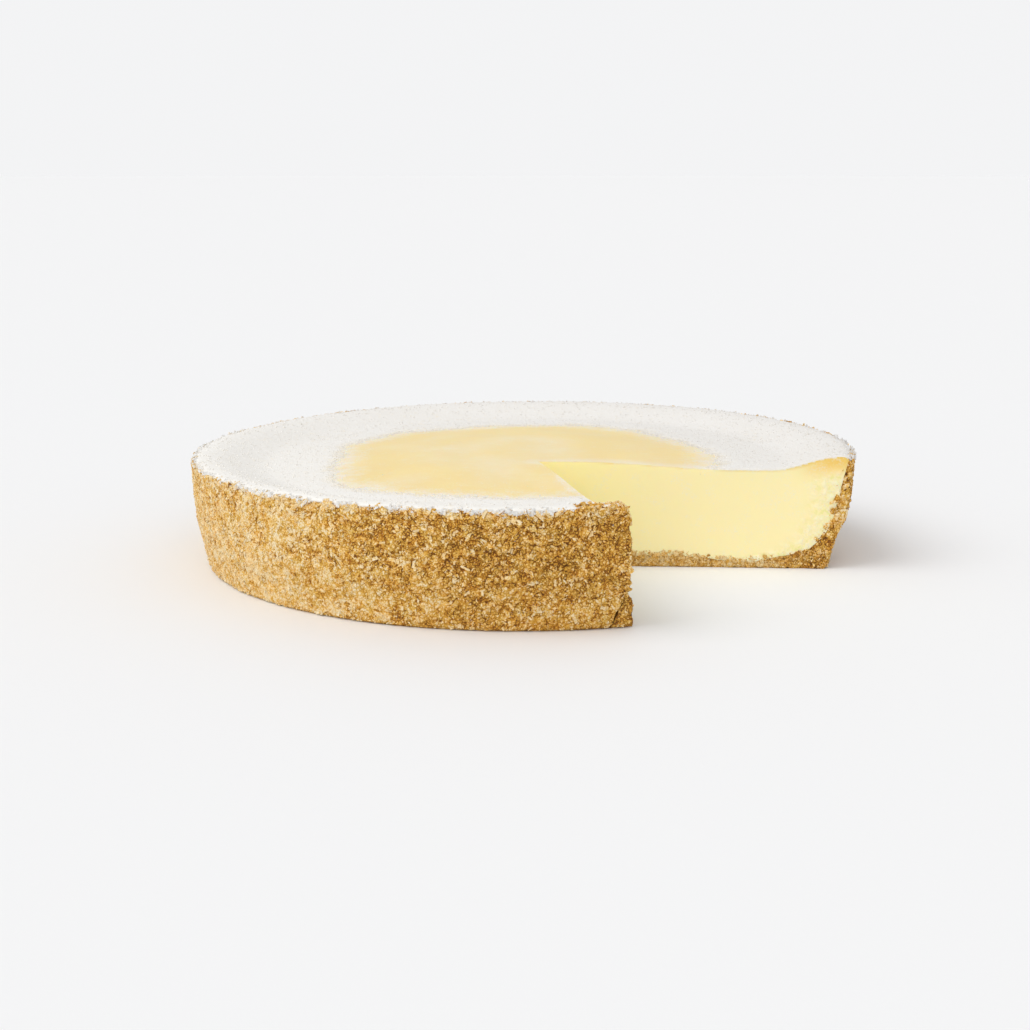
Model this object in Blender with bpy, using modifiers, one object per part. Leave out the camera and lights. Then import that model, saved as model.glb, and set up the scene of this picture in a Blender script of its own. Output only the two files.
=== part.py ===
"""Baked cheesecake in a crumb crust, with a ring of icing sugar and one wedge cut out.

Metres, +Z up. The origin is on the underside, at the axis of the tin. -Y is the front, where the cake
is looked at from, and azimuths are turned from the front towards +X, the right.
"""

import math
import random

import bmesh
import bpy
from mathutils import Euler, Vector, noise

MM = 0.001
GAP = 0.3 * MM
TOUCH = 0.1 * MM

# The tin's shape, and the lean of the cake in it
FOOT_RADIUS = 122.9 * MM
BRIM_RADIUS = 130.2 * MM
BRIM_HEIGHT = 42.6 * MM
SIDE_LEAN = 1.3 * MM
WALL_BULGE = 0.88
BELLY = 1.4 * MM
BELLY_RISE = (8 * MM, 20 * MM)
BELLY_FALL = (24 * MM, 43 * MM)
FOOT_ROUNDING = 1.0 * MM
FOOT_SHIFT = 1.5 * MM
FOOT_SHIFT_FADE = (5 * MM, 30 * MM)
BRIM_MIDDLE = 128.4 * MM
BRIM_ROUNDING = 0.8 * MM

# Radius and height of the crust's inner face, from the middle of the base up to the brim
INNER_FACE = [
    (0.0, 5.5),
    (45.0, 5.8),
    (72.0, 5.0),
    (87.0, 3.1),
    (97.0, 3.9),
    (108.0, 6.0),
    (113.5, 7.8),
    (118.8, 12.2),
    (122.2, 18.4),
    (124.0, 25.0),
    (125.8, 34.0),
    (127.4, 42.0),
]
LUMPY_BASE = 0.5 * MM
LUMPS_ROUND = 2.6
LUMP_SPACING = 16 * MM
CORNER_START = 95 * MM
CORNER_END = 122 * MM

# The set filling: a low crown, a trough round it and a raised lip at the brim
CROWN_HEIGHT = 40.8 * MM
TROUGH_DEPTH = 3.5 * MM
TROUGH_START = 30 * MM
TROUGH_RADIUS = 94 * MM
LIP_RISE = 5.3 * MM
LIP_START = 100 * MM
LIP_RADIUS = 125 * MM
TOP_RINGS = [0, 20, 40, 60, 78, 96, 104, 111, 118, 124]
SURFACE_SWELL = 0.3 * MM
SWELL_SPACING = 38 * MM

# Icing sugar, sifted over everything but the middle. Its edge is given as azimuth in degrees and radius.
SUGAR_INNER = 72 * MM
SUGAR_EDGE = [
    (-180, 89.0),
    (-160, 86.0),
    (-145, 88.0),
    (-120, 83.0),
    (-100, 75.5),
    (-86, 74.0),
    (-70, 78.5),
    (-50, 87.0),
    (-25, 85.5),
    (0, 84.5),
    (16, 84.0),
    (50, 80.0),
    (90, 77.5),
    (110, 73.5),
    (125, 76.0),
    (145, 85.0),
    (165, 91.0),
    (180, 89.0),
]
SUGAR_OUTER = 126.6 * MM
SUGAR_DEPTH = 0.7 * MM
SUGAR_EDGE_DEPTH = 0.35 * MM
SUGAR_RINGS = [r * MM for r in TOP_RINGS if r > 90] + [SUGAR_OUTER]

# The missing wedge, between two knife cuts that meet short of the axis. The near cut slants, so that
# its foot lies farther into the gap than its top.
WEDGE_TIP = Vector((5.8 * MM, -26.3 * MM))
NEAR_CUT = math.radians(16.2)
FAR_CUT = math.radians(86.7)
NEAR_CUT_SLANT = 3.3 * MM
CUT_REACH = 170 * MM
CUTTER_FLOOR = -6 * MM
CUTTER_TOP = 56 * MM
CRUMBLE = 0.55 * MM
CRUMBLE_START = 14 * MM
ROUGH_GRID = (60, 14)
CLEAN_GRID = (2, 1)

# Relief of the crumb
CRUST_STEPS = 180
WALL_ROWS = 10
CRUMB_RELIEF = 0.75 * MM
CRAG_RELIEF = 1.1 * MM
CRAG_SCALE = 9 * MM
CRUMB_SCALE = 4.2 * MM
VERTEX_JITTER = 0.32
BRIM_RAGGED = 0.8 * MM
FLAKE_COUNT = 80
FLAKE_SUNK = 0.75
BRIM_FLAKE_SHARE = 0.3
FLAKE_SIZES = (1.3 * MM, 2.2 * MM)
FLAKE_SKEW = 0.35
FILLING_STEPS = 56

# The corner that is breaking away at the foot of the near cut
CHUNK_MIDDLE = Vector((33.6, -115.0, 5.9)) * MM
CHUNK_HALF = Vector((2.7, 3.4, 6.2)) * MM
LOOSE_FLOOR = 0.2 * MM
CRACK_MIDDLE = Vector((31.2, -118.6, 6.0)) * MM
CRACK_SIZE = Vector((0.8, 9.0, 15.5)) * MM
CRACK_LEAN = math.radians(17)

COLOURS = {
    "crumb_crust": ((0.50, 0.27, 0.075), 0.9),
    "cheese_filling": ((0.90, 0.74, 0.33), 0.45),
    "icing_sugar": ((0.90, 0.88, 0.84), 0.95),
}


def clear_scene():
    """Remove every object that the file opened with."""
    for item in list(bpy.data.objects):
        bpy.data.objects.remove(item, do_unlink=True)


def new_collection(name):
    """Make a collection under the scene's own."""
    made = bpy.data.collections.new(name)
    bpy.context.scene.collection.children.link(made)
    return made


def smooth_step(start, end, value):
    """Rise smoothly from 0 at start to 1 at end."""
    t = min(1.0, max(0.0, (value - start) / (end - start)))
    return t * t * (3.0 - 2.0 * t)


def azimuth_of(point):
    """Angle of a point round the axis, from the front towards the right."""
    return math.atan2(point.x, -point.y)


def direction(azimuth):
    """Unit vector in plan at an azimuth."""
    return Vector((math.sin(azimuth), -math.cos(azimuth)))


def lean(point):
    """How far the cake stands higher at this point, as its right side rose more."""
    return SIDE_LEAN * point.x / BRIM_RADIUS


def wall_radius(height):
    """Outer radius of the crust at a height, leaning out like the tin, with a belly and a soft foot."""
    t = min(1.0, max(0.0, height / BRIM_HEIGHT))
    foot = max(0.0, 1.0 - height / FOOT_ROUNDING)
    belly = BELLY * smooth_step(*BELLY_RISE, height) * (1.0 - smooth_step(*BELLY_FALL, height))
    return FOOT_RADIUS + (BRIM_RADIUS - FOOT_RADIUS) * t**WALL_BULGE + belly - FOOT_ROUNDING * foot * foot


def foot_shift(height, azimuth):
    """How far the wall stands out at an azimuth, as the crust's foot lies to the left of its brim."""
    return -FOOT_SHIFT * math.sin(azimuth) * (1.0 - smooth_step(*FOOT_SHIFT_FADE, height))


def filling_top(point):
    """Height of the filling's top over a point in plan."""
    radius = math.hypot(point.x, point.y)
    height = CROWN_HEIGHT - TROUGH_DEPTH * smooth_step(TROUGH_START, TROUGH_RADIUS, radius)
    lip = smooth_step(LIP_START, LIP_RADIUS, radius)
    height += LIP_RISE * lip
    swell = noise.noise(Vector((point.x, point.y, 0.0)) / SWELL_SPACING)
    return height + lean(point) + SURFACE_SWELL * swell * smooth_step(0.0, TROUGH_START, radius)


def sugar_edge(azimuth):
    """Radius where the sifted sugar gives way to the bare middle."""
    angle = math.degrees(azimuth)
    for (start, first), (end, last) in zip(SUGAR_EDGE, SUGAR_EDGE[1:]):
        if start <= angle <= end:
            return (first + (last - first) * smooth_step(start, end, angle)) * MM
    return SUGAR_EDGE[-1][1] * MM


def inner_face_point(radius, height, azimuth, outwards):
    """Point of the crust's inner face, pressed unevenly, pushed outwards by a distance."""
    ring = Vector((LUMPS_ROUND * math.cos(azimuth), LUMPS_ROUND * math.sin(azimuth), radius / LUMP_SPACING))
    uneven = noise.noise(ring) * LUMPY_BASE * smooth_step(0.0, TROUGH_START, radius)
    steepness = smooth_step(CORNER_START, CORNER_END, radius)
    plan = direction(azimuth) * (radius + uneven * steepness + outwards * min(1.0, 0.35 + steepness))
    rise = uneven * (1.0 - steepness) - outwards * (1.0 - 0.8 * steepness)
    wanted = Vector((plan.x, plan.y, height + rise))
    wanted.z += lean(wanted) * height / BRIM_HEIGHT
    return wanted


def turned_object(name, profile, steps, closed=False):
    """Turn a profile of (radius, height) points round the Z axis with a Screw modifier, applied."""
    mesh = bpy.data.meshes.new(name)
    edges = [(i, i + 1) for i in range(len(profile) - 1)]
    if closed:
        edges.append((len(profile) - 1, 0))
    mesh.from_pydata([(r, 0.0, z) for r, z in profile], edges, [])
    turned = bpy.data.objects.new(name, mesh)
    bpy.context.scene.collection.objects.link(turned)
    screw = turned.modifiers.new("turn", "SCREW")
    screw.axis = "Z"
    screw.steps = steps
    screw.render_steps = steps
    screw.use_merge_vertices = True
    screw.merge_threshold = 0.01 * MM
    screw.use_smooth_shade = False
    apply_modifiers(turned)
    return turned


def apply_modifiers(item):
    """Replace an object's mesh by its evaluated mesh."""
    bpy.context.view_layer.update()
    evaluated = item.evaluated_get(bpy.context.evaluated_depsgraph_get())
    mesh = bpy.data.meshes.new_from_object(evaluated)
    item.modifiers.clear()
    old = item.data
    item.data = mesh
    bpy.data.meshes.remove(old)


def reshape(item, move):
    """Move every vertex of an object to where a function sends it, and split bent faces."""
    for vertex in item.data.vertices:
        vertex.co = move(vertex.co.copy())
    split_faces(item)


def split_faces(item):
    """Split every face into triangles, so that each is flat when it is cut."""
    mesh = bmesh.new()
    mesh.from_mesh(item.data)
    bmesh.ops.triangulate(mesh, faces=mesh.faces[:])
    mesh.to_mesh(item.data)
    mesh.free()


def boolean(item, cutter, operation, solver="EXACT"):
    """Apply one Boolean of an object, or of a collection, to an item."""
    modifier = item.modifiers.new(operation.lower(), "BOOLEAN")
    modifier.operation = operation
    modifier.solver = solver
    if isinstance(cutter, bpy.types.Collection):
        modifier.operand_type = "COLLECTION"
        modifier.collection = cutter
    else:
        modifier.object = cutter
    apply_modifiers(item)
    split_faces(item)


def as_cutter(item, collection):
    """Mark an object as a cutter that isn't part of the cake."""
    item.hide_render = True
    item.display_type = "WIRE"
    collect(item, collection)


def collect(item, collection):
    """Move an object from the scene's own collection to another."""
    bpy.context.scene.collection.objects.unlink(item)
    collection.objects.link(item)


def wedge_tip(height):
    """Where the two cuts meet at a height."""
    slant = NEAR_CUT_SLANT * (CROWN_HEIGHT - height) / CROWN_HEIGHT
    return WEDGE_TIP + direction(FAR_CUT) * slant


def crumb_noise(point, scale):
    """Rough noise between about -1 and 1, at the size of packed crumbs."""
    coarse = noise.noise(point / scale)
    fine = noise.noise(point / (0.45 * scale) + Vector((7.1, 3.3, 9.2)))
    return coarse + 0.6 * fine


def wedge_cutter(name, collection, segments, crumble):
    """Make the missing wedge: a curtain along both cuts, swept out between them."""
    grid = bmesh.new()
    bmesh.ops.create_grid(grid, x_segments=segments[0], y_segments=segments[1], size=0.5)
    near_normal = direction(NEAR_CUT + math.pi / 2)
    far_normal = direction(FAR_CUT - math.pi / 2)
    for vertex in grid.verts:
        along = 2.0 * vertex.co.x
        height = CUTTER_FLOOR + (vertex.co.y + 0.5) * (CUTTER_TOP - CUTTER_FLOOR)
        azimuth = NEAR_CUT if along < 0.0 else FAR_CUT
        plan = wedge_tip(height) + direction(azimuth) * abs(along) * CUT_REACH
        place = Vector((plan.x, plan.y, height))
        if crumble:
            normal = near_normal if along < 0.0 else far_normal
            depth = crumble * crumb_noise(place, CRUMB_SCALE)
            depth *= min(1.0, abs(along) * CUT_REACH / CRUMBLE_START)
            place += Vector((normal.x, normal.y, 0.0)) * depth
        vertex.co = place
    swept = bmesh.ops.extrude_face_region(grid, geom=grid.faces[:])
    bisector = direction(0.5 * (NEAR_CUT + FAR_CUT)) * CUT_REACH
    moved = [part for part in swept["geom"] if isinstance(part, bmesh.types.BMVert)]
    bmesh.ops.translate(grid, verts=moved, vec=Vector((bisector.x, bisector.y, 0.0)))
    bmesh.ops.recalc_face_normals(grid, faces=grid.faces[:])
    bmesh.ops.triangulate(grid, faces=grid.faces[:])
    mesh = bpy.data.meshes.new(name)
    grid.to_mesh(mesh)
    grid.free()
    cutter = bpy.data.objects.new(name, mesh)
    bpy.context.scene.collection.objects.link(cutter)
    as_cutter(cutter, collection)
    return cutter


def crust_block():
    """Turn the outside of the crust, solid right through, with the crumb's relief on it."""
    rows = [BRIM_HEIGHT * (1.0 - i / WALL_ROWS) for i in range(1, WALL_ROWS)]
    profile = [(0.0, BRIM_HEIGHT), (CORNER_END, BRIM_HEIGHT), (BRIM_MIDDLE, BRIM_HEIGHT)]
    profile.append((BRIM_RADIUS - BRIM_ROUNDING, BRIM_HEIGHT))
    profile += [(wall_radius(z), z) for z in rows + [0.4 * FOOT_ROUNDING, 0.0]]
    profile.append((0.0, 0.0))
    block = turned_object("crumb_crust", profile, CRUST_STEPS)
    cell = BRIM_HEIGHT / WALL_ROWS
    draw = random.Random(11)

    def roughen(point):
        shift = [draw.uniform(-1.0, 1.0) for _ in range(3)]
        outwards = Vector((point.x, point.y, 0.0)).normalized()
        point += outwards * foot_shift(point.z, azimuth_of(point))
        if point.z < TOUCH:
            return point
        if math.hypot(point.x, point.y) < CORNER_END + TOUCH and point.z > BRIM_HEIGHT - TOUCH:
            point.z += lean(point)
            return point
        relief = shift[1] * CRUMB_RELIEF + noise.noise(point / CRAG_SCALE) * CRAG_RELIEF
        foot = smooth_step(0.0, cell, point.z)
        sideways = Vector((-outwards.y, outwards.x, 0.0))
        if point.z > BRIM_HEIGHT - TOUCH:
            point.z += BRIM_RAGGED * shift[0]
            point += outwards * relief * 0.5
        else:
            point += outwards * relief * (0.35 + 0.65 * foot)
            point.z += shift[0] * VERTEX_JITTER * cell * foot
        point += sideways * shift[2] * VERTEX_JITTER * cell * foot
        point.z += lean(point) * point.z / BRIM_HEIGHT
        return point

    reshape(block, roughen)
    return block


def flakes(collection):
    """Scatter the larger crumbs of the crust, half sunk in its outside."""
    draw = random.Random(29)
    for index in range(FLAKE_COUNT):
        azimuth = 2.0 * math.pi * (index + draw.uniform(-0.4, 0.4)) / FLAKE_COUNT
        on_brim = draw.random() < BRIM_FLAKE_SHARE
        height = BRIM_HEIGHT if on_brim else draw.uniform(4 * MM, BRIM_HEIGHT - 3 * MM)
        size = draw.uniform(*FLAKE_SIZES)
        sunk = 1.5 * MM if on_brim else FLAKE_SUNK * size
        plan = direction(azimuth) * (wall_radius(height) + foot_shift(height, azimuth) - sunk)
        place = Vector((plan.x, plan.y, height - (FLAKE_SUNK * size if on_brim else 0.0)))
        place.z += lean(place) * height / BRIM_HEIGHT
        turn = Euler([draw.uniform(0.0, math.pi) for _ in range(3)])
        crumb = bmesh.new()
        bmesh.ops.create_cube(crumb, size=2.0 * size)
        for vertex in crumb.verts:
            skew = Vector(draw.uniform(-FLAKE_SKEW, FLAKE_SKEW) for _ in range(3)) * size
            vertex.co += skew
        collect(placed(f"flake_{index:03d}", crumb, place, turn), collection)


def placed(name, shape, place, turn):
    """Turn a bmesh, move it to its place and make it an object."""
    for vertex in shape.verts:
        point = vertex.co.copy()
        point.rotate(turn)
        vertex.co = place + point
        vertex.co.z = max(vertex.co.z, LOOSE_FLOOR)
    bmesh.ops.triangulate(shape, faces=shape.faces[:])
    mesh = bpy.data.meshes.new(name)
    shape.to_mesh(mesh)
    shape.free()
    made = bpy.data.objects.new(name, mesh)
    bpy.context.scene.collection.objects.link(made)
    return made


def broken_chunk():
    """Make the chunk that hangs on at the corner beside the crack."""
    ball = bmesh.new()
    bmesh.ops.create_icosphere(ball, subdivisions=2, radius=1.0)
    for vertex in ball.verts:
        point = Vector(vertex.co[i] * CHUNK_HALF[i] for i in range(3))
        vertex.co = point * (1.0 + 0.12 * crumb_noise(point, 2.5 * MM))
    return placed("chunk", ball, CHUNK_MIDDLE, Euler((0.0, CRACK_LEAN, NEAR_CUT)))


def filling_space(name, outwards, open_top):
    """Turn the body inside the crust: the filling itself, or the space that it needs."""
    inner = [(r * MM, z * MM) for r, z in INNER_FACE]
    brim_inner = inner[-1][0]
    if open_top:
        top = [(0.0, CUTTER_TOP), (brim_inner, CUTTER_TOP)]
    else:
        top = [(r * MM, CUTTER_TOP) for r in TOP_RINGS]
    body = turned_object(name, top + inner[::-1], FILLING_STEPS)

    def shape(point):
        radius = math.hypot(point.x, point.y)
        azimuth = azimuth_of(point)
        if point.z < CUTTER_TOP - TOUCH:
            return inner_face_point(radius, point.z, azimuth, outwards)
        if open_top:
            plan = direction(azimuth) * (radius + outwards * smooth_step(0.0, CORNER_START, radius))
            return Vector((plan.x, plan.y, point.z))
        point.z = filling_top(point)
        return point

    reshape(body, shape)
    return body


def sugar_ring():
    """Turn the skin of icing sugar, thin at its inner edge, over the filling's top."""
    radii = [SUGAR_INNER] + SUGAR_RINGS
    loop = [(r, 1.0) for r in radii] + [(r, 0.0) for r in radii[::-1]]
    ring = turned_object("icing_sugar", loop, FILLING_STEPS, closed=True)

    def lay(point):
        radius = math.hypot(point.x, point.y)
        azimuth = azimuth_of(point)
        at_edge = radius < SUGAR_INNER + TOUCH
        plan = direction(azimuth) * (sugar_edge(azimuth) if at_edge else radius)
        depth = SUGAR_EDGE_DEPTH if at_edge else SUGAR_DEPTH
        return Vector((plan.x, plan.y, filling_top(plan) + GAP + depth * point.z))

    reshape(ring, lay)
    return ring


def crack_blade(collection):
    """Make the slanting blade that opens the crack at the foot of the near cut."""
    bpy.ops.mesh.primitive_cube_add(size=1.0, location=CRACK_MIDDLE)
    blade = bpy.context.object
    blade.name = "crack_blade"
    blade.scale = CRACK_SIZE
    blade.rotation_euler = Euler((0.0, CRACK_LEAN, NEAR_CUT))
    bpy.ops.object.transform_apply(location=False, rotation=False, scale=True)
    for owner in list(blade.users_collection):
        owner.objects.unlink(blade)
    collection.objects.link(blade)
    blade.hide_render = True
    blade.display_type = "WIRE"
    return blade


def dress(item):
    """Give an object its plain material."""
    colour, roughness = COLOURS[item.name]
    material = bpy.data.materials.new(item.name)
    material.use_nodes = True
    shader = material.node_tree.nodes["Principled BSDF"]
    shader.inputs["Base Color"].default_value = (*colour, 1.0)
    shader.inputs["Roughness"].default_value = roughness
    shader.inputs["Metallic"].default_value = 0.0
    item.data.materials.clear()
    item.data.materials.append(material)


def build():
    """Build the crust, the filling and the sugar, and take the wedge out of each."""
    clear_scene()
    cake = new_collection("baked_cheesecake")
    cutters = new_collection("cutters")
    loose = new_collection("flakes")
    rough_wedge = wedge_cutter("crumbled_wedge", cutters, ROUGH_GRID, CRUMBLE)
    clean_wedge = wedge_cutter("clean_wedge", cutters, CLEAN_GRID, 0.0)
    space = filling_space("filling_space", GAP, True)
    as_cutter(space, cutters)

    crust = crust_block()
    flakes(loose)
    boolean(crust, loose, "UNION", "MANIFOLD")
    for item in list(loose.objects):
        bpy.data.objects.remove(item, do_unlink=True)
    bpy.data.collections.remove(loose)
    boolean(crust, space, "DIFFERENCE")
    boolean(crust, rough_wedge, "DIFFERENCE")
    chunk = broken_chunk()
    boolean(crust, chunk, "UNION")
    bpy.data.objects.remove(chunk, do_unlink=True)
    boolean(crust, crack_blade(cutters), "DIFFERENCE")

    filling = filling_space("cheese_filling", 0.0, False)
    boolean(filling, clean_wedge, "DIFFERENCE")
    sugar = sugar_ring()
    boolean(sugar, clean_wedge, "DIFFERENCE")

    for item in (crust, filling, sugar):
        collect(item, cake)
        dress(item)


build()
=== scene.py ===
"""Dresses the baked cheesecake: crumb crust, set filling, sifted icing sugar, studio and camera.

Metres, +Z up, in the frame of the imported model. -Y is the front and azimuths turn from the front
towards +X. The cake's own shape functions stand in CakeForm and Wedge, and every piece is laid on them.
"""

from __future__ import annotations

import logging
import math
from collections.abc import Callable, Iterable, Sequence
from dataclasses import dataclass, field
from enum import Enum

import bmesh
import bpy
import numpy as np
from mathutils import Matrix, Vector, noise

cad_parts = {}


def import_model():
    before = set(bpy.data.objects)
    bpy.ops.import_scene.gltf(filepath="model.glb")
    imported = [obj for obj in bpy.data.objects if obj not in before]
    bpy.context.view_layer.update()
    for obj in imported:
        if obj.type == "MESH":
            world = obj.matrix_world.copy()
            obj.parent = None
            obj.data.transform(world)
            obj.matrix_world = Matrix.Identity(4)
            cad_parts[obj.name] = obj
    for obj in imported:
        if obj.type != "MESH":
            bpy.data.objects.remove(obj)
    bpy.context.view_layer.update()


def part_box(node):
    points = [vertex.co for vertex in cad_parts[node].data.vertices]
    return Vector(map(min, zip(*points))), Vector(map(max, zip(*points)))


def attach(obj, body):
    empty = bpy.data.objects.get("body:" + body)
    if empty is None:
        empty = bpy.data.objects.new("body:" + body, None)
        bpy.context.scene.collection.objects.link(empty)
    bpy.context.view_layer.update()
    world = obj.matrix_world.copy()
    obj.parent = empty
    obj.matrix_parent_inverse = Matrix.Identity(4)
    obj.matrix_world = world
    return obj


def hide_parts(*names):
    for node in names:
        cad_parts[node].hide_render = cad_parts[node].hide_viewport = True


LOG = logging.getLogger("cheesecake")
MM = 0.001
BODY = "root"
PHOTO_PIXELS = 1030

Colour = tuple[float, float, float]
Numbers = np.ndarray | float
Sites = tuple[np.ndarray, np.ndarray]
Table = tuple[tuple[float, float], ...]

FIRST_SEED = 17
BARE_SKIN: Colour = (0.875, 0.69, 0.31)


class Part(str, Enum):
    """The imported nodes, whose names are the record's material slots too."""

    CRUST = "crumb_crust"
    FILLING = "cheese_filling"
    SUGAR = "icing_sugar"


class Cut(Enum):
    """Azimuths in degrees of the two knife cuts of the missing wedge."""

    NEAR = 16.2
    FAR = 86.7


def smooth_step(start: float, end: float, value: float) -> float:
    """Rise smoothly from 0 at start to 1 at end.

    Args:
        start: Value up to which the result is 0.
        end: Value from which the result is 1.
        value: Where to read the step.

    Returns:
        A number from 0 to 1.
    """
    t = min(1.0, max(0.0, (value - start) / (end - start)))
    return t * t * (3.0 - 2.0 * t)


def stepped(start: float, end: float, values: Numbers) -> Numbers:
    """Return smooth_step for a whole array."""
    t = np.clip((values - start) / (end - start), 0.0, 1.0)
    return t * t * (3.0 - 2.0 * t)


def direction(azimuth: float) -> Vector:
    """Return the level unit vector at an azimuth in radians."""
    return Vector((math.sin(azimuth), -math.cos(azimuth), 0.0))


def directions(azimuths: np.ndarray) -> np.ndarray:
    """Return direction for an array of azimuths, as rows."""
    return np.stack([np.sin(azimuths), -np.cos(azimuths), np.zeros(len(azimuths))], 1)


def azimuth_of(point: Vector) -> float:
    """Return the azimuth of a point round the axis, in radians."""
    return math.atan2(point.x, -point.y)


def azimuths_of(points: np.ndarray) -> np.ndarray:
    """Return azimuth_of for rows of points."""
    return np.arctan2(points[:, 0], -points[:, 1])


def radius_of(point: Vector) -> float:
    """Return the distance of a point from the axis."""
    return math.hypot(point.x, point.y)


def radii_of(points: np.ndarray) -> np.ndarray:
    """Return radius_of for rows of points."""
    return np.hypot(points[:, 0], points[:, 1])


def flat(point: Vector) -> Vector:
    """Return the point's place in plan, at height 0."""
    return Vector((point.x, point.y, 0.0))


def read_table(table: Sequence[tuple[float, float]], at: Numbers) -> Numbers:
    """Read a table of pairs between its rows, by their first numbers."""
    return np.interp(at, [first for first, _ in table], [second for _, second in table])


def turns_about(axis: str, angles: np.ndarray) -> np.ndarray:
    """Return a rotation matrix about the X or the Z axis for each angle.

    Args:
        axis: X or Z.
        angles: The angles in radians.

    Returns:
        One matrix for each angle.
    """
    turns = np.tile(np.eye(3), (len(angles), 1, 1))
    first, second = {"X": (1, 2), "Z": (0, 1)}[axis]
    turns[:, first, first] = turns[:, second, second] = np.cos(angles)
    turns[:, second, first] = np.sin(angles)
    turns[:, first, second] = -turns[:, second, first]
    return turns


def section_key(radius: float, height: float) -> tuple[int, int]:
    """Return whole numbers by which a point of a section is found again, in steps of 0.02 mm."""
    return round(radius / MM * 50), round(height / MM * 50)


def grain(point: Vector, size: float) -> tuple[float, float]:
    """Read packed grains of about one size.

    Args:
        point: Where to read, in metres.
        size: Spacing of the grains.

    Returns:
        How far the point is from a seam between grains, 0 to 1, and the grain's own number, 0 to 1.
    """
    distances, middles = noise.voronoi(point / size)
    own = 0.5 + 0.5 * noise.cell(middles[0] * 13.7)
    return min(1.0, 2.2 * (distances[1] - distances[0])), own % 1.0


@dataclass(frozen=True)
class CakeForm:
    """The shape of the whole cake, in the sizes that its solids have.

    Attributes:
        side_lean: How much higher the cake stands at its right side than at its middle.
        wall_bulge: Power of the wall's outline, 1 for a straight one.
        belly: How far the wall swells at mid-height.
        foot_offset: How far the foot lies to the left of the brim.
        trough_depth: How far the filling's top dips from its crown towards its lip.
        swell: Unevenness of its top.
        lumps: Unevenness of the crust's inner face.
        lumps_round: How many lumps there are in each radian round it.
        crumb_lumps: Its finer unevenness.
        even_rim: Heights between which the inner face becomes even.
        corner: Radii between which the base turns up into the wall.
        inner_face: Radius and height of the crust's inner face, in millimetres, base to brim.
        wall_from: Index of the point of inner_face where its wall begins.
        brim_edge: Radius and height of the brim's rounded edge, in millimetres, inwards.
        sugar_line: Azimuth in degrees, and the height in millimetres that sugar reaches down to.
    """

    brim_height: float = 42.6 * MM
    foot_radius: float = 122.9 * MM
    brim_radius: float = 130.2 * MM
    side_lean: float = 1.3 * MM
    wall_bulge: float = 0.88
    belly: float = 1.4 * MM
    foot_rounding: float = 1.0 * MM
    foot_offset: float = 1.5 * MM
    crown_height: float = 40.8 * MM
    trough_depth: float = 3.5 * MM
    trough_start: float = 30 * MM
    trough_radius: float = 94 * MM
    lip_rise: float = 5.3 * MM
    lip_start: float = 100 * MM
    lip_radius: float = 125 * MM
    swell: float = 0.3 * MM
    swell_spacing: float = 38 * MM
    lumps: float = 0.5 * MM
    lumps_round: float = 2.6
    lump_spacing: float = 16 * MM
    crumb_lumps: float = 0.75 * MM
    crumb_lump_spacing: float = 3.1 * MM
    even_rim: tuple[float, float] = (36 * MM, 41 * MM)
    corner: tuple[float, float] = (95 * MM, 122 * MM)
    inner_face: Table = (
        (0.0, 5.5), (45.0, 5.8), (72.0, 5.0), (87.0, 3.1), (97.0, 3.9), (108.0, 6.0),
        (113.5, 7.8), (118.8, 12.2), (122.2, 18.4), (124.0, 25.0), (125.8, 34.0), (127.4, 42.0),
    )
    wall_from: int = 4
    brim_edge: Table = ((129.6, 40.6), (129.4, 41.2), (129.0, 41.7), (128.5, 42.1), (128.0, 42.3))
    sugar_line: Table = (
        (-180.0, 40.6), (-100.0, 40.8), (-70.0, 41.6), (-45.0, 42.0), (-28.0, 42.0), (-17.0, 41.9),
        (-4.0, 41.3), (1.0, 41.4), (4.0, 42.0), (7.5, 42.8), (9.5, 47.0), (16.0, 47.0), (20.0, 41.6),
        (180.0, 40.6),
    )

    def inner_line(self) -> list[tuple[float, float]]:
        """Return radius and height along the crust's inner face in close steps, brim to base."""
        places = [i / 3 for i in range(3 * len(self.inner_face) - 2)]
        radii, heights = (read_table(list(enumerate(side)), places) * MM for side in zip(*self.inner_face))
        return [(float(r), float(z)) for r, z in zip(radii, heights)][::-1]

    def lean(self, x: Numbers) -> Numbers:
        """Return how much higher the cake stands at this x, as its right side rose more."""
        return self.side_lean * x / self.brim_radius

    def wall_radius(self, height: Numbers) -> Numbers:
        """Return the crust's outer radius at a height, with its belly and soft foot.

        Args:
            height: One height or many.

        Returns:
            The radius for each.
        """
        t = np.clip(height / self.brim_height, 0.0, 1.0)
        belly = self.belly * stepped(8 * MM, 20 * MM, height) * (1.0 - stepped(24 * MM, 43 * MM, height))
        foot = np.maximum(0.0, 1.0 - height / self.foot_rounding)
        flare = (self.brim_radius - self.foot_radius) * t**self.wall_bulge
        return self.foot_radius + flare + belly - self.foot_rounding * foot * foot

    def foot_shift(self, height: Numbers, azimuth: Numbers) -> Numbers:
        """Return how far the wall stands out, as the crust's foot lies to the left of its brim."""
        return -self.foot_offset * np.sin(azimuth) * (1.0 - stepped(5 * MM, 30 * MM, height))

    def wall_limit(self, height: Numbers, azimuth: Numbers) -> Numbers:
        """Return the radius of the wall's outline at a height and an azimuth."""
        return self.wall_radius(height) + self.foot_shift(height, azimuth)

    def top(self, point: Vector) -> float:
        """Return the height of the filling's top over a point in plan.

        Args:
            point: The point.

        Returns:
            The height, with the cake's lean.
        """
        radius = radius_of(point)
        height = self.crown_height
        height -= self.trough_depth * smooth_step(self.trough_start, self.trough_radius, radius)
        height += self.lip_rise * smooth_step(self.lip_start, self.lip_radius, radius)
        swell = self.swell * noise.noise(flat(point) / self.swell_spacing)
        return height + self.lean(point.x) + swell * smooth_step(0.0, self.trough_start, radius)

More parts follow.
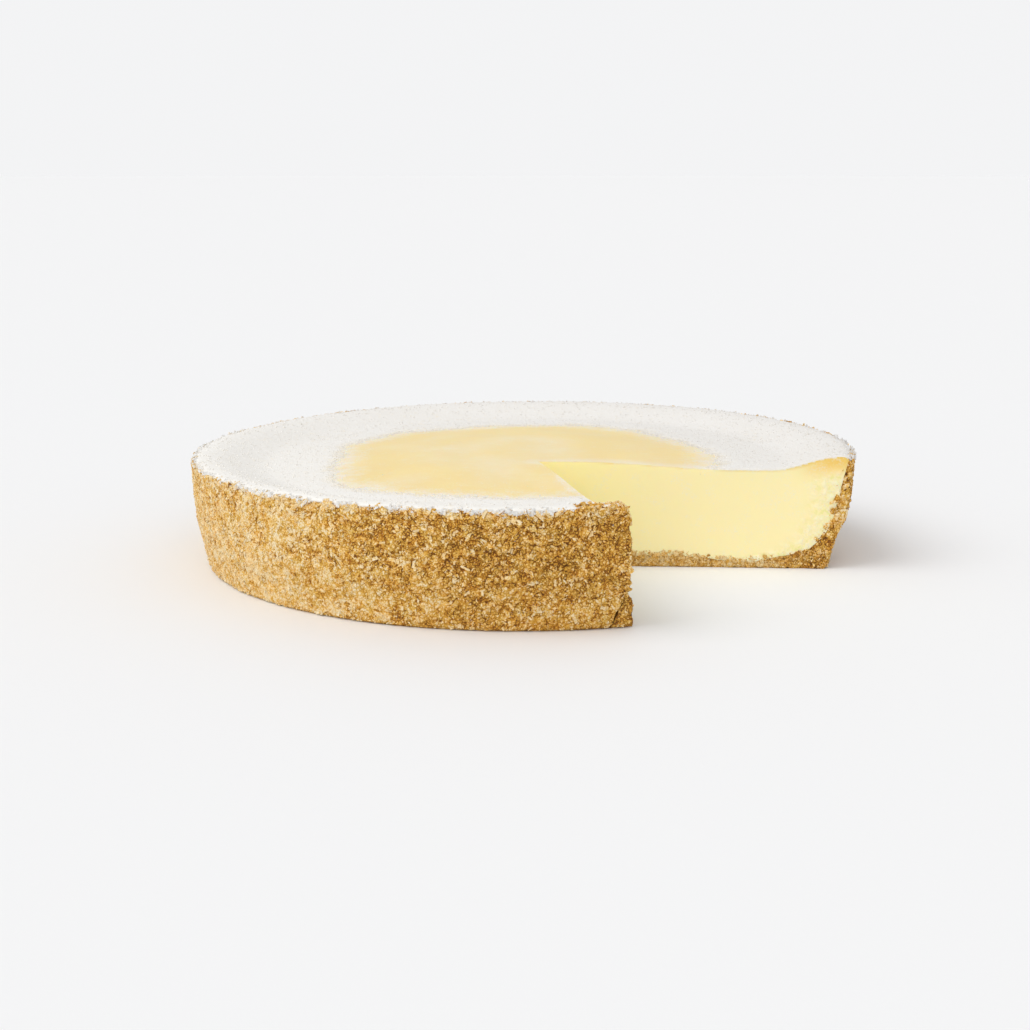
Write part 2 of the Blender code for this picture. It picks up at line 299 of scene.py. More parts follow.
    def brim_top(self, radius: Numbers) -> Numbers:
        """Return the height of the crust's rounded brim at a radius, before the cake's lean."""
        return read_table(self.brim_edge[::-1], radius / MM) * MM

    def sugar_foot(self, azimuth: Numbers) -> Numbers:
        """Return the height that sugar reaches down to on the brim, before the cake's lean."""
        return read_table(self.sugar_line, np.degrees(azimuth)) * MM

    def inner_radius(self, height: Numbers) -> Numbers:
        """Return the radius of the crust's inner wall at a height."""
        return read_table([(z, r) for r, z in self.inner_face[self.wall_from :]], height / MM) * MM

    def base_top(self, radius: Numbers) -> Numbers:
        """Return the height of the crumb base at a radius."""
        return read_table(self.inner_face, radius / MM) * MM

    def inner_point(self, radius: float, height: float, azimuth: float, outwards: float) -> Vector:
        """Place a point of the crust's unevenly pressed inner face.

        Args:
            radius: The point's radius on the even face.
            height: Its height there.
            azimuth: Its azimuth in radians.
            outwards: How far to push it out of the filling.

        Returns:
            The point in space.
        """
        turn = (self.lumps_round * math.cos(azimuth), self.lumps_round * math.sin(azimuth))
        ring = Vector((*turn, radius / self.lump_spacing))
        uneven = noise.noise(ring) * self.lumps * smooth_step(0.0, self.trough_start, radius)
        even = direction(azimuth) * radius + Vector((0.0, 0.0, height))
        uneven += noise.noise(even / self.crumb_lump_spacing) * self.crumb_lumps
        uneven *= 1.0 - smooth_step(*self.even_rim, height)
        steepness = smooth_step(*self.corner, radius)
        place = direction(azimuth) * (radius + uneven * steepness + outwards * min(1.0, 0.35 + steepness))
        place.z = height + uneven * (1.0 - steepness) - outwards * (1.0 - 0.8 * steepness)
        place.z += self.lean(place.x) * height / self.brim_height
        return place


@dataclass(frozen=True)
class Wedge:
    """The missing wedge. Its near cut slants, so that its foot lies farther into the gap.

    Attributes:
        tip: Where the two cuts meet at the crown, in plan.
        slant: How far the tip moves along the far cut from the crown down to the floor.
        crown: Height of the crown.
        reach: Length of the cutter along each cut.
        plain: How far from the tip a cut's relief comes in.
        floor: Height where the cutter begins.
        ceiling: Height where it ends.
    """

    tip: Vector = field(default_factory=lambda: Vector((5.8 * MM, -26.3 * MM, 0.0)))
    slant: float = 3.3 * MM
    crown: float = 40.8 * MM
    reach: float = 140 * MM
    plain: float = 8 * MM
    floor: float = -4 * MM
    ceiling: float = 50 * MM

    def along(self, cut: Cut) -> Vector:
        """Return the level unit vector from the tip along a cut."""
        return direction(math.radians(cut.value))

    def outward(self, cut: Cut) -> Vector:
        """Return the level unit vector from a cut face into the gap."""
        quarter = math.pi / 2 if cut is Cut.NEAR else -math.pi / 2
        return direction(math.radians(cut.value) + quarter)

    def tip_at(self, height: float) -> Vector:
        """Return where the cuts meet at a height, in plan."""
        return self.tip + self.along(Cut.FAR) * self.slant * (self.crown - height) / self.crown

    def depths(self, points: np.ndarray) -> np.ndarray:
        """Measure how far points lie inside the gap.

        Args:
            points: Rows of x, y and z.

        Returns:
            The distance from the nearer cut for each, negative in the cake.
        """
        shift = self.slant * (self.crown - points[:, 2:]) / self.crown
        away = points[:, :2] - np.array(self.tip)[:2] - shift * np.array(self.along(Cut.FAR))[:2]
        return np.min([away @ np.array(self.outward(cut))[:2] for cut in Cut], axis=0)

    def from_cut(self, point: Vector, cut: Cut) -> float:
        """Return the level distance from a cut's face, and from the tip behind it.

        Args:
            point: The point.
            cut: The cut.

        Returns:
            The distance.
        """
        away = point - self.tip_at(point.z)
        away.z = 0.0
        if away.dot(self.along(cut)) < 0.0:
            return away.length
        return abs(away.dot(self.outward(cut)))

    def cutter(
        self, step: float, relief: Callable[[Vector, Cut], float], setback: float
    ) -> bpy.types.Object:
        """Model the gap as a curtain along both cuts, swept out between them.

        Args:
            step: Spacing of the curtain's grid.
            relief: Gives the height of a cut face's relief at a point.
            setback: How far the cuts are moved into the cake.

        Returns:
            The cutter, closed and facing outwards.
        """
        shape = bmesh.new()
        columns = 2 * max(1, round(self.reach / step))
        rows = max(1, round((self.ceiling - self.floor) / step))
        bmesh.ops.create_grid(shape, x_segments=columns, y_segments=rows, size=0.5)
        middle = (self.along(Cut.NEAR) + self.along(Cut.FAR)).normalized()
        for vertex in shape.verts:
            side = 2.0 * vertex.co.x
            cut = Cut.NEAR if side < 0.0 else Cut.FAR
            height = self.floor + (vertex.co.y + 0.5) * (self.ceiling - self.floor)
            away = abs(side) * self.reach
            place = self.tip_at(height) + self.along(cut) * away - middle * setback
            place.z = height
            raised = relief(place, cut) * smooth_step(0.0, self.plain, away)
            vertex.co = place + self.outward(cut) * raised
        swept = bmesh.ops.extrude_face_region(shape, geom=shape.faces[:])["geom"]
        moved = [part for part in swept if isinstance(part, bmesh.types.BMVert)]
        bmesh.ops.translate(shape, verts=moved, vec=middle * self.reach)
        bmesh.ops.recalc_face_normals(shape, faces=shape.faces[:])
        return as_object("wedge_gap", shape)


def as_object(name: str, shape: bmesh.types.BMesh) -> bpy.types.Object:
    """Turn a bmesh into a smooth-shaded object at the origin, and free it.

    Args:
        name: The object's name.
        shape: The mesh, in metres.

    Returns:
        The object.
    """
    for face in shape.faces:
        face.smooth = True
    mesh = bpy.data.meshes.new(name)
    shape.to_mesh(mesh)
    shape.free()
    return linked(name, mesh)


def linked(name: str, mesh: bpy.types.Mesh) -> bpy.types.Object:
    """Make an object of a mesh and link it to the scene.

    Args:
        name: The object's name.
        mesh: Its mesh.

    Returns:
        The object, at the origin.
    """
    piece = bpy.data.objects.new(name, mesh)
    bpy.context.scene.collection.objects.link(piece)
    return piece


def turned(profile: Sequence[tuple[float, float]], columns: int) -> bmesh.types.BMesh:
    """Wrap a grid round the Z axis along a profile.

    Args:
        profile: Radius and height of each point. It is closed by its first point unless both ends
            are on the axis.
        columns: Steps round the axis.

    Returns:
        A closed skin that faces outwards.
    """
    shape = bmesh.new()
    line = list(profile) if profile[0][0] == 0.0 else [*profile, profile[0]]
    rows = len(line) - 1
    bmesh.ops.create_grid(shape, x_segments=columns, y_segments=rows, size=0.5)
    for vertex in shape.verts:
        radius, height = line[round((vertex.co.y + 0.5) * rows)]
        vertex.co = direction(2.0 * math.pi * (vertex.co.x + 0.5)) * radius + Vector((0.0, 0.0, height))
    bmesh.ops.remove_doubles(shape, verts=shape.verts[:], dist=0.002 * MM)
    bmesh.ops.recalc_face_normals(shape, faces=shape.faces[:])
    return shape


def cut_away(piece: bpy.types.Object, cutter: bpy.types.Object) -> None:
    """Take a cutter's space out of a piece and remove the cutter.

    Args:
        piece: A closed mesh object, changed in place.
        cutter: A closed mesh object.
    """
    knife = piece.modifiers.new("cut", "BOOLEAN")
    knife.operation = "DIFFERENCE"
    knife.solver = "MANIFOLD"
    knife.object = cutter
    bpy.context.view_layer.update()
    evaluated = piece.evaluated_get(bpy.context.evaluated_depsgraph_get())
    mesh = bpy.data.meshes.new_from_object(evaluated)
    piece.modifiers.clear()
    uncut, piece.data = piece.data, mesh
    mesh.materials.clear()
    gap = cutter.data
    bpy.data.objects.remove(cutter)
    bpy.data.meshes.remove(uncut)
    bpy.data.meshes.remove(gap)


def corners(mesh: bpy.types.Mesh) -> np.ndarray:
    """Return the places of a mesh's vertices as rows of x, y and z.

    Args:
        mesh: The mesh.

    Returns:
        One row for each vertex.
    """
    flat = np.empty(3 * len(mesh.vertices), np.float32)
    mesh.vertices.foreach_get("co", flat)
    return flat.reshape(-1, 3).astype(float)


def paint(piece: bpy.types.Object, name: str, values: Iterable[float], domain: str = "POINT") -> None:
    """Store numbers on a piece for its material to read.

    Args:
        piece: The mesh object.
        name: The attribute's name.
        values: One number for each vertex or face.
        domain: POINT for vertices or FACE for faces.
    """
    layer = piece.data.attributes.new(name, "FLOAT", domain)
    layer.data.foreach_set("value", np.fromiter(values, np.float32, len(layer.data)))


def cloud(points: np.ndarray, size: float) -> np.ndarray:
    """Return smooth noise of one size for rows of points, about -1 to 1."""
    return np.array([noise.noise(Vector(point) / size) for point in points])


def triangulated_cube() -> tuple[np.ndarray, np.ndarray]:
    """Model a cube of unit size, and return its vertices and its triangles as arrays."""
    shape = bmesh.new()
    bmesh.ops.create_cube(shape, size=1.0)
    bmesh.ops.triangulate(shape, faces=shape.faces[:])
    points = np.array([vertex.co[:] for vertex in shape.verts])
    triangles = np.array([[vertex.index for vertex in face.verts] for face in shape.faces])
    shape.free()
    return points, triangles


def scattered(
    name: str, solid: np.ndarray, triangles: np.ndarray
) -> tuple[bpy.types.Object, np.ndarray, np.ndarray]:
    """Join many small solids into one object.

    Args:
        name: The object's name.
        solid: For each solid, rows of its vertices.
        triangles: The triangles that all of them share.

    Returns:
        The object, its vertices and its triangles.
    """
    count, each = solid.shape[:2]
    points = solid.reshape(-1, 3)
    faces = (triangles[None] + (np.arange(count) * each)[:, None, None]).reshape(-1, 3)
    mesh = bpy.data.meshes.new(name)
    mesh.from_pydata(points, [], faces)
    return linked(name, mesh), points, faces


def finished(
    piece: bpy.types.Object, part: Part, material: bpy.types.Material, stands_for: bool
) -> bpy.types.Object:
    """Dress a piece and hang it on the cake's body.

    Args:
        piece: The modelled piece.
        part: The node that it is a piece of.
        material: Its material.
        stands_for: Whether it replaces that node.

    Returns:
        The finished piece.
    """
    piece.data.materials.append(material)
    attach(piece, BODY)
    if stands_for:
        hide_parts(part.value)
    LOG.info("%s: %d faces", piece.name, len(piece.data.polygons))
    return piece


@dataclass
class NodeGraph:
    """A thin hand for wiring shader nodes.

    Attributes:
        tree: The node tree of a material or a group.
    """

    tree: bpy.types.NodeTree

    def add(self, kind: str, **values: object) -> bpy.types.Node:
        """Add a node and set its inputs or properties by name.

        Args:
            kind: The node's type, without its ShaderNode prefix.
            **values: Input sockets, with _ for a space, or properties of the node. A socket takes
                a number, a tuple or another node's output.

        Returns:
            The node.
        """
        made = self.tree.nodes.new("ShaderNode" + kind)
        for name, value in values.items():
            socket = name.replace("_", " ")
            if hasattr(made, name):
                setattr(made, name, value)
            elif isinstance(value, bpy.types.NodeSocket):
                self.tree.links.new(value, made.inputs[socket])
            else:
                made.inputs[socket].default_value = value
        return made

    def math(self, operation: str, *terms: object) -> bpy.types.NodeSocket:
        """Work out one sum of numbers or outputs, and return its output.

        Args:
            operation: The sum's kind.
            *terms: Numbers or outputs.

        Returns:
            The result's output.
        """
        made = self.tree.nodes.new("ShaderNodeMath")
        made.operation = operation
        self.feed(made.inputs, terms)
        return made.outputs[0]

    def mix(self, share: object, first: object, second: object, blend: str = "MIX") -> bpy.types.NodeSocket:
        """Mix two colours by a share, and return the mixed colour.

        Args:
            share: Share of the second colour.
            first: A colour or an output.
            second: Another.
            blend: How they are blended.

        Returns:
            The mixed colour's output.
        """
        made = self.tree.nodes.new("ShaderNodeMix")
        made.data_type = "RGBA"
        made.blend_type = blend
        self.feed([made.inputs[0], made.inputs[6], made.inputs[7]], [share, first, second])
        return made.outputs[2]

    def ramp(self, factor: object, stops: Sequence[tuple[float, Colour]]) -> bpy.types.NodeSocket:
        """Map a number to a colour through the stops, and return the colour.

        Args:
            factor: The number or output.
            stops: Place and colour of each stop.

        Returns:
            The colour's output.
        """
        made = self.tree.nodes.new("ShaderNodeValToRGB")
        bar = made.color_ramp.elements
        while len(bar) < len(stops):
            bar.new(0.5)
        for element, (place, colour) in zip(bar, stops):
            element.position = place
            element.color = (*colour, 1.0)
        self.feed([made.inputs[0]], [factor])
        return made.outputs[0]

    def spread(
        self, value: object, low: float, high: object, to_low: float = 0.0, to_high: float = 1.0
    ) -> bpy.types.NodeSocket:
        """Stretch a range of numbers over another, clamped, and return the result.

        Args:
            value: The output to stretch.
            low: Start of its range.
            high: End of its range.
            to_low: Result at the start.
            to_high: Result at the end.

        Returns:
            The result's output.
        """
        made = self.tree.nodes.new("ShaderNodeMapRange")
        made.clamp = True
        self.feed([made.inputs[i] for i in range(5)], [value, low, high, to_low, to_high])
        return made.outputs[0]

    def weighed(self, first: object, share: float, second: object, rest: float) -> bpy.types.NodeSocket:
        """Add two outputs, each times its share, and return the sum."""
        return self.math("ADD", self.math("MULTIPLY", first, share), self.math("MULTIPLY", second, rest))

    def about(self, value: object, middle: float, scale: object) -> bpy.types.NodeSocket:
        """Return how far an output is from a middle value, times a scale."""
        return self.math("MULTIPLY", self.math("SUBTRACT", value, middle), scale)

    def noise(
        self, where: bpy.types.NodeSocket, scale: float, detail: float, roughness: float = 0.5
    ) -> bpy.types.NodeSocket:
        """Return cloudy noise."""
        made = self.add("TexNoise", Vector=where, Scale=scale, Detail=detail, Roughness=roughness)
        return made.outputs["Fac"]

    def attribute(self, name: str) -> bpy.types.NodeSocket:
        """Read a number stored on the mesh."""
        return self.add("Attribute", attribute_name=name).outputs["Fac"]

    def place(self) -> bpy.types.NodeSocket:
        """Read the point's place on the piece."""
        return self.add("TexCoord").outputs["Object"]

    def group(self, kind: bpy.types.NodeTree, **values: object) -> bpy.types.Node:
        """Place a node group and feed its inputs by name.

        Args:
            kind: The group.
            **values: A number, a colour or an output for each input.

        Returns:
            The node.
        """
        made = self.tree.nodes.new("ShaderNodeGroup")
        made.node_tree = kind
        for name, value in values.items():
            self.feed([made.inputs[name]], [value])
        return made

    def dress(
        self,
        shader: bpy.types.Node,
        colour: bpy.types.NodeSocket,
        roughness: bpy.types.NodeSocket,
        relief: bpy.types.NodeSocket,
        strength: float,
        distance: float,
    ) -> None:
        """Wire a colour, a roughness and a relief to a shader.

        Args:
            shader: The Principled shader.
            colour: Its colour.
            roughness: Its roughness.
            relief: Height of its bumps.
            strength: How strongly they show.
            distance: How high a relief of 1 is, in metres.
        """
        bump = self.add("Bump", Strength=strength, Distance=distance, Height=relief).outputs["Normal"]
        sockets = [shader.inputs[name] for name in ("Base Color", "Roughness", "Normal")]
        self.feed(sockets, [colour, roughness, bump])

    def feed(self, sockets: Sequence[bpy.types.NodeSocket], terms: Sequence[object]) -> None:
        """Link or set each socket from an output, a number or a colour.

        Args:
            sockets: The sockets.
            terms: What each of them gets.
        """
        for socket, term in zip(sockets, terms):
            if isinstance(term, bpy.types.NodeSocket):
                self.tree.links.new(term, socket)
            elif isinstance(term, tuple) and len(term) == 3 and socket.type == "RGBA":
                socket.default_value = (*term, 1.0)
            else:
                socket.default_value = term


def new_group(
    name: str, inputs: Sequence[str], outputs: Sequence[str]
) -> tuple[NodeGraph, bpy.types.Node, bpy.types.Node]:
    """Start a shader node group.

    Args:
        name: The group's name.
        inputs: Name of each input. Vector is a vector, Color is a colour, and any other is a number.
        outputs: Name of each output, in the same way.

    Returns:
        The group's graph, its input node and its output node.
    """
    tree = bpy.data.node_groups.new(name, "ShaderNodeTree")
    for side, labels in (("INPUT", inputs), ("OUTPUT", outputs)):
        for label in labels:
            kind = label if label in ("Vector", "Color") else "Float"
            tree.interface.new_socket(label, in_out=side, socket_type="NodeSocket" + kind)
    return NodeGraph(tree), tree.nodes.new("NodeGroupInput"), tree.nodes.new("NodeGroupOutput")


def new_material(name: str) -> tuple[bpy.types.Material, NodeGraph, bpy.types.Node]:
    """Start a material, and return it with its graph and its Principled shader.

    Args:
        name: The material's name.

    Returns:
        The material, its graph and its shader.
    """
    material = bpy.data.materials.new(name)
    material.use_nodes = True
    return material, NodeGraph(material.node_tree), material.node_tree.nodes["Principled BSDF"]


@dataclass(frozen=True)
class SpeckleEffect:
    """Speckle of crushed biscuit: random tone and height, grain by grain.

    Attributes:
        coarse: Larger grains to a metre.
        fine: Smaller grains to a metre.
        warp: Bends of the grains' outlines to a metre.
        bend: How far the outlines bend.
        crevice: Where a larger grain's crevice ends, as a share of its size.
        pore: Where a smaller grain's crevice ends.
    """

    coarse: float = 950.0
    fine: float = 2300.0
    warp: float = 1100.0
    bend: float = 0.8 * MM
    crevice: float = 0.17
    pore: float = 0.2

    def build(self) -> bpy.types.NodeTree:
        """Build the group, with outputs Tone, Seam, which is 0 in a crevice, and Height."""
        graph, given, result = new_group("crumb_speckle", ["Vector"], ["Tone", "Seam", "Height"])
        where = given.outputs["Vector"]
        warp = graph.add("TexNoise", Vector=where, Scale=self.warp, Detail=2.0)
        bent = graph.add("VectorMath", operation="MULTIPLY_ADD")
        graph.feed(bent.inputs[:3], [warp.outputs["Color"], (self.bend, self.bend, self.bend), where])
        own, edge = [], []
        for scale in (self.coarse, self.fine):
            cells = graph.add("TexVoronoi", Vector=bent.outputs[0], Scale=scale)
            own.append(graph.add("SeparateColor", Color=cells.outputs["Color"]).outputs)
            lines = graph.add("TexVoronoi", Vector=bent.outputs[0], Scale=scale, feature="DISTANCE_TO_EDGE")
            edge.append(lines.outputs["Distance"])
        tone = graph.weighed(own[0][0], 0.55, own[1][0], 0.45)
        pore = graph.spread(edge[1], 0.0, self.pore, 0.55)
        seam = graph.math("MULTIPLY", graph.spread(edge[0], 0.0, self.crevice), pore)
        graph.feed(result.inputs[:3], [tone, seam, graph.weighed(seam, 0.7, own[1][1], 0.3)])
        return graph.tree


@dataclass(frozen=True)
class VeilEffect:
    """A veil of sifted sugar that breaks up into specks where it thins out.

    Attributes:
        grain: Specks to a metre.
        drift: Drifts to a metre.
    """

    grain: float = 1500.0
    drift: float = 230.0

    def build(self) -> bpy.types.NodeTree:
        """Build the group, with the output Mask."""
        graph, given, result = new_group("sugar_veil", ["Vector", "Amount", "Softness"], ["Mask"])
        where, amount, softness = given.outputs[:3]
        specks, drifts = graph.noise(where, self.grain, 2.0), graph.noise(where, self.drift, 3.0)
        level = graph.weighed(specks, 0.6, drifts, 0.4)
        threshold = graph.math("SUBTRACT", 1.0, amount)
        over = graph.math("SUBTRACT", graph.spread(level, 0.32, 0.68), threshold)
        mask = graph.spread(over, graph.math("MULTIPLY", softness, -0.5), softness)
        graph.feed(result.inputs[:1], [mask])
        return graph.tree


@dataclass(frozen=True)
class SoftMottle:
    """Soft, cloudy unevenness in two sizes.

    Attributes:
        broad: Broad clouds to a metre.
        close: Small clouds to a metre.
    """

    broad: float = 45.0
    close: float = 260.0

    def build(self) -> bpy.types.NodeTree:
        """Build the group, with the output Value from 0 to 1."""
        graph, given, result = new_group("soft_mottle", ["Vector"], ["Value"])
        where = given.outputs["Vector"]
        clouds, flecks = graph.noise(where, self.broad, 3.0), graph.noise(where, self.close, 3.0)
        both = graph.weighed(clouds, 0.6, flecks, 0.4)
        graph.feed(result.inputs[:1], [graph.spread(both, 0.35, 0.65)])
        return graph.tree


@dataclass(frozen=True)
class SugarPaintedShade:
    """The white of sifted sugar, with painted shade that darkens and dulls it towards the back and the
    right.

    Attributes:
        full: Colour at the front and the left.
        painted_shade_white: Painted shade: the colour at the back and the right.
        breadth: How far from the middle the colour is wholly one or the other.
    """

    full: Colour = (0.90, 0.885, 0.855)
    painted_shade_white: Colour = (0.80, 0.785, 0.765)
    breadth: float = 0.17

    def build(self) -> bpy.types.NodeTree:
        """Build the group, with the output Color."""
        graph, given, result = new_group("sugar_painted_shade", ["Vector"], ["Color"])
        apart = graph.add("SeparateXYZ", Vector=given.outputs["Vector"])
        across = graph.math("ADD", apart.outputs[0], apart.outputs[1])
        share = graph.spread(across, -self.breadth, self.breadth)
        graph.feed(result.inputs[:1], [graph.mix(share, self.full, self.painted_shade_white)])
        return graph.tree


@dataclass(frozen=True)
class Effects:
    """The effects that the finishes share, each built once."""

    speckle: bpy.types.NodeTree
    veil: bpy.types.NodeTree
    mottle: bpy.types.NodeTree
    # Sugar white, with painted shade towards the back and the right.
    light: bpy.types.NodeTree

    @classmethod
    def built(cls) -> Effects:
        """Build every effect."""
        return cls(*(kind().build() for kind in (SpeckleEffect, VeilEffect, SoftMottle, SugarPaintedShade)))


@dataclass(frozen=True)
class CrumbFinish:
    """Baked biscuit crumb.

    Attributes:
        seam: Colour at the lowest tone, which the painted shade deep between crumbs reaches.
        toast: Colour of the darker crumbs.
        gold: Colour of most crumbs.
        biscuit: Colour of the paler ones.
        fleck: Colour of the palest flakes.
        stops: Tone of each of these colours.
        damp: Colour of crumb that the filling has soaked.
        warmer: Tint of the patches that browned more.
        greyer: Tint of the patches that browned less.
        patch_scale: Lighter and darker patches to a metre.
        patch_contrast: How far a patch moves the tone.
        grain_contrast: How far a grain's own number moves it.
        tint_scale: Tinted patches to a metre.
        rim: How dark the painted shade in the seams is, from dark crumb to pale.
    """

    seam: Colour = (0.15, 0.055, 0.004)
    toast: Colour = (0.40, 0.155, 0.010)
    gold: Colour = (0.67, 0.345, 0.033)
    biscuit: Colour = (0.87, 0.55, 0.118)
    fleck: Colour = (0.98, 0.80, 0.47)
    stops: tuple[float, ...] = (0.0, 0.28, 0.52, 0.76, 1.0)
    damp: Colour = (0.66, 0.47, 0.15)
    warmer: Colour = (1.02, 0.93, 0.80)
    greyer: Colour = (1.0, 1.03, 1.16)
    patch_scale: float = 150.0
    patch_contrast: float = 0.8
    grain_contrast: float = 0.52
    tint_scale: float = 240.0
    rim: tuple[float, float] = (0.95, 0.42)

    def build(self, effects: Effects) -> bpy.types.Material:
        """Build the material, which reads tone, dust and damp from the mesh.

        Args:
            effects: The shared effects.

        Returns:
            The material.
        """
        material, graph, shader = new_material("baked_crumb")
        where = graph.place()
        grains = graph.group(effects.speckle, Vector=where).outputs
        baked = graph.attribute("tone")
        own = graph.about(grains["Tone"], 0.5, self.grain_contrast)
        wide = graph.about(graph.noise(where, self.patch_scale, 3.0, 0.6), 0.5, self.patch_contrast)
        # Painted shade in the seams between grains, deeper on darker crumb.
        deep = graph.about(grains["Seam"], 0.45, graph.spread(baked, 0.15, 0.6, *self.rim))
        tone = graph.math("ADD", graph.math("ADD", baked, own), graph.math("ADD", wide, deep))
        colours = (self.seam, self.toast, self.gold, self.biscuit, self.fleck)
        browning = graph.spread(graph.noise(where, self.tint_scale, 1.0), 0.34, 0.66)
        tint = graph.mix(browning, self.warmer, self.greyer)
        colour = graph.mix(1.0, graph.ramp(tone, list(zip(self.stops, colours))), tint, "MULTIPLY")
        soaked = graph.mix(0.5, graph.mix(1.0, colour, self.damp, "MULTIPLY"), self.damp)
        colour = graph.mix(graph.attribute("damp"), colour, soaked)
        dusted = graph.group(effects.veil, Vector=where, Amount=graph.attribute("dust"), Softness=0.2)
        # Sugar white, with painted shade towards the back and the right.
        white = graph.group(effects.light, Vector=where).outputs["Color"]
        colour = graph.mix(dusted.outputs["Mask"], colour, white)
        rough = graph.spread(grains["Tone"], 0.0, 1.0, 0.6, 0.9)
        graph.dress(shader, colour, rough, grains["Height"], 0.75, 0.4 * MM)
        shader.inputs["Specular IOR Level"].default_value = 0.35
        return material


@dataclass(frozen=True)
class FillingFinish:
    """Set baked custard, with a browned skin on top.

    Attributes:
        face: Colour of the knife-cut face.
        curd: Paler colour of the lumps in the grainy part near the crust.
        whey: Colour between those lumps.
        skin: Colour of the bare top.
        browned: Colour of the skin where it baked most.
        core: Brighter, yellower colour of the face near the middle of the cake.
        curd_scale: Lumps to a metre.
        soft: How far light spreads under the surface.
    """

    face: Colour = (0.945, 0.825, 0.445)
    curd: Colour = (0.945, 0.88, 0.62)
    whey: Colour = (0.82, 0.76, 0.28)
    skin: Colour = BARE_SKIN
    browned: Colour = (0.86, 0.54, 0.08)
    core: Colour = (1.0, 0.88, 0.42)
    curd_scale: float = 430.0
    soft: float = 4 * MM

    def build(self, effects: Effects) -> bpy.types.Material:
        """Build the material, which reads skin, lip, curd, core, haze and dust from the mesh.

        Args:
            effects: The shared effects.

        Returns:
            The material.
        """
        material, graph, shader = new_material("baked_custard")
        where = graph.place()
        cloudy = graph.group(effects.mottle, Vector=where).outputs["Value"]
        curds = graph.noise(where, self.curd_scale, 4.0, 0.6)
        lump = graph.math("MULTIPLY", graph.spread(curds, 0.48, 0.62), graph.attribute("curd"))
        dent = graph.math("MULTIPLY", graph.spread(curds, 0.47, 0.36), graph.attribute("curd"))
        colour = graph.mix(graph.attribute("core"), self.face, self.core)
        colour = graph.mix(graph.math("MULTIPLY", dent, 0.8), colour, self.whey)
        colour = graph.mix(graph.math("MULTIPLY", lump, 0.75), colour, self.curd)
        warm = graph.mix(graph.attribute("lip"), self.skin, self.browned)
        warm = graph.mix(graph.math("MULTIPLY", cloudy, 0.3), warm, self.face)
        colour = graph.mix(graph.attribute("skin"), colour, warm)
        # Sugar white, with painted shade towards the back and the right.
        white = graph.group(effects.light, Vector=where).outputs["Color"]
        # Fine sugar clouding the bare skin, and the painted highlight beside the far cut.
        haze_and_highlight = graph.math("MULTIPLY", graph.attribute("haze_and_highlight"), graph.spread(cloudy, 0.0, 1.0, 0.6, 1.2))
        colour = graph.mix(haze_and_highlight, colour, white)
        # Sugar dust on the skin, and the painted highlight along the near cut.
        film = graph.group(effects.veil, Vector=where, Amount=graph.attribute("dust"), Softness=0.75)
        colour = graph.mix(graph.math("MULTIPLY", film.outputs["Mask"], 0.95), colour, white)
        rough = graph.spread(cloudy, 0.0, 1.0, 0.42, 0.6)
        graph.dress(shader, colour, rough, graph.weighed(cloudy, 0.4, lump, 1.6), 0.35, 0.5 * MM)
        shader.inputs["Subsurface Weight"].default_value = 0.25
        shader.inputs["Subsurface Radius"].default_value = (1.0, 0.6, 0.25)
        shader.inputs["Subsurface Scale"].default_value = self.soft
        return material


@dataclass(frozen=True)
class SugarFinish:
    """Sifted icing sugar, matt and powdery, through which the cake shows faintly where it is thin.

    Attributes:
        shade: Painted shade of the powder's hollows.
        thin: Tint of the places where it is thin.
        skin: Colour of the bare top that shows through.
        powder_scale: Grains of powder to a metre.
        clump_scale: Clumps to a metre.
    """

    shade: Colour = (0.95, 0.935, 0.91)
    thin: Colour = (0.975, 0.92, 0.82)
    skin: Colour = BARE_SKIN
    powder_scale: float = 1300.0
    clump_scale: float = 520.0

    def build(self, effects: Effects) -> bpy.types.Material:
        """Build the material, which reads from the mesh how far the skin under it is bare.

        Args:
            effects: The shared effects.

        Returns:
            The material.
        """
        material, graph, shader = new_material("sifted_sugar")
        where = graph.place()
        cloudy = graph.group(effects.mottle, Vector=where).outputs["Value"]
        powder = graph.noise(where, self.powder_scale, 3.0, 0.7)
        clumps = graph.noise(where, self.clump_scale, 3.0, 0.6)
        hollows = graph.spread(cloudy, 0.0, 1.0, 0.55, 1.0)
        # Painted shade where the powder noise, which also shapes the bump, is low.
        uneven = graph.math("MULTIPLY", graph.spread(powder, 0.3, 0.62), hollows)
        colour = graph.mix(uneven, self.shade, (1.0, 1.0, 1.0))
        patchy = graph.spread(cloudy, 0.25, 0.9, 0.75, 0.2)
        worn = graph.math("MULTIPLY", graph.spread(clumps, 0.56, 0.7), patchy)
        colour = graph.mix(worn, colour, self.thin)
        # Sugar white, with painted shade towards the back and the right.
        white = graph.group(effects.light, Vector=where).outputs["Color"]
        colour = graph.mix(1.0, colour, white, "MULTIPLY")
        cover = graph.math("SUBTRACT", 1.0, graph.attribute("bare"))
        film = graph.group(effects.veil, Vector=where, Amount=cover, Softness=0.75)
        opening = graph.math("SUBTRACT", 1.0, film.outputs["Mask"])
        through = graph.math("MULTIPLY", opening, graph.spread(cover, 0.8, 1.0, 1.0, 0.0))
        colour = graph.mix(through, colour, self.skin)
        relief = graph.math("ADD", graph.math("MULTIPLY", powder, 0.5), clumps)
        graph.dress(shader, colour, graph.spread(powder, 0.3, 0.7, 0.85, 1.0), relief, 0.5, 0.4 * MM)
        shader.inputs["Specular IOR Level"].default_value = 0.15
        return material


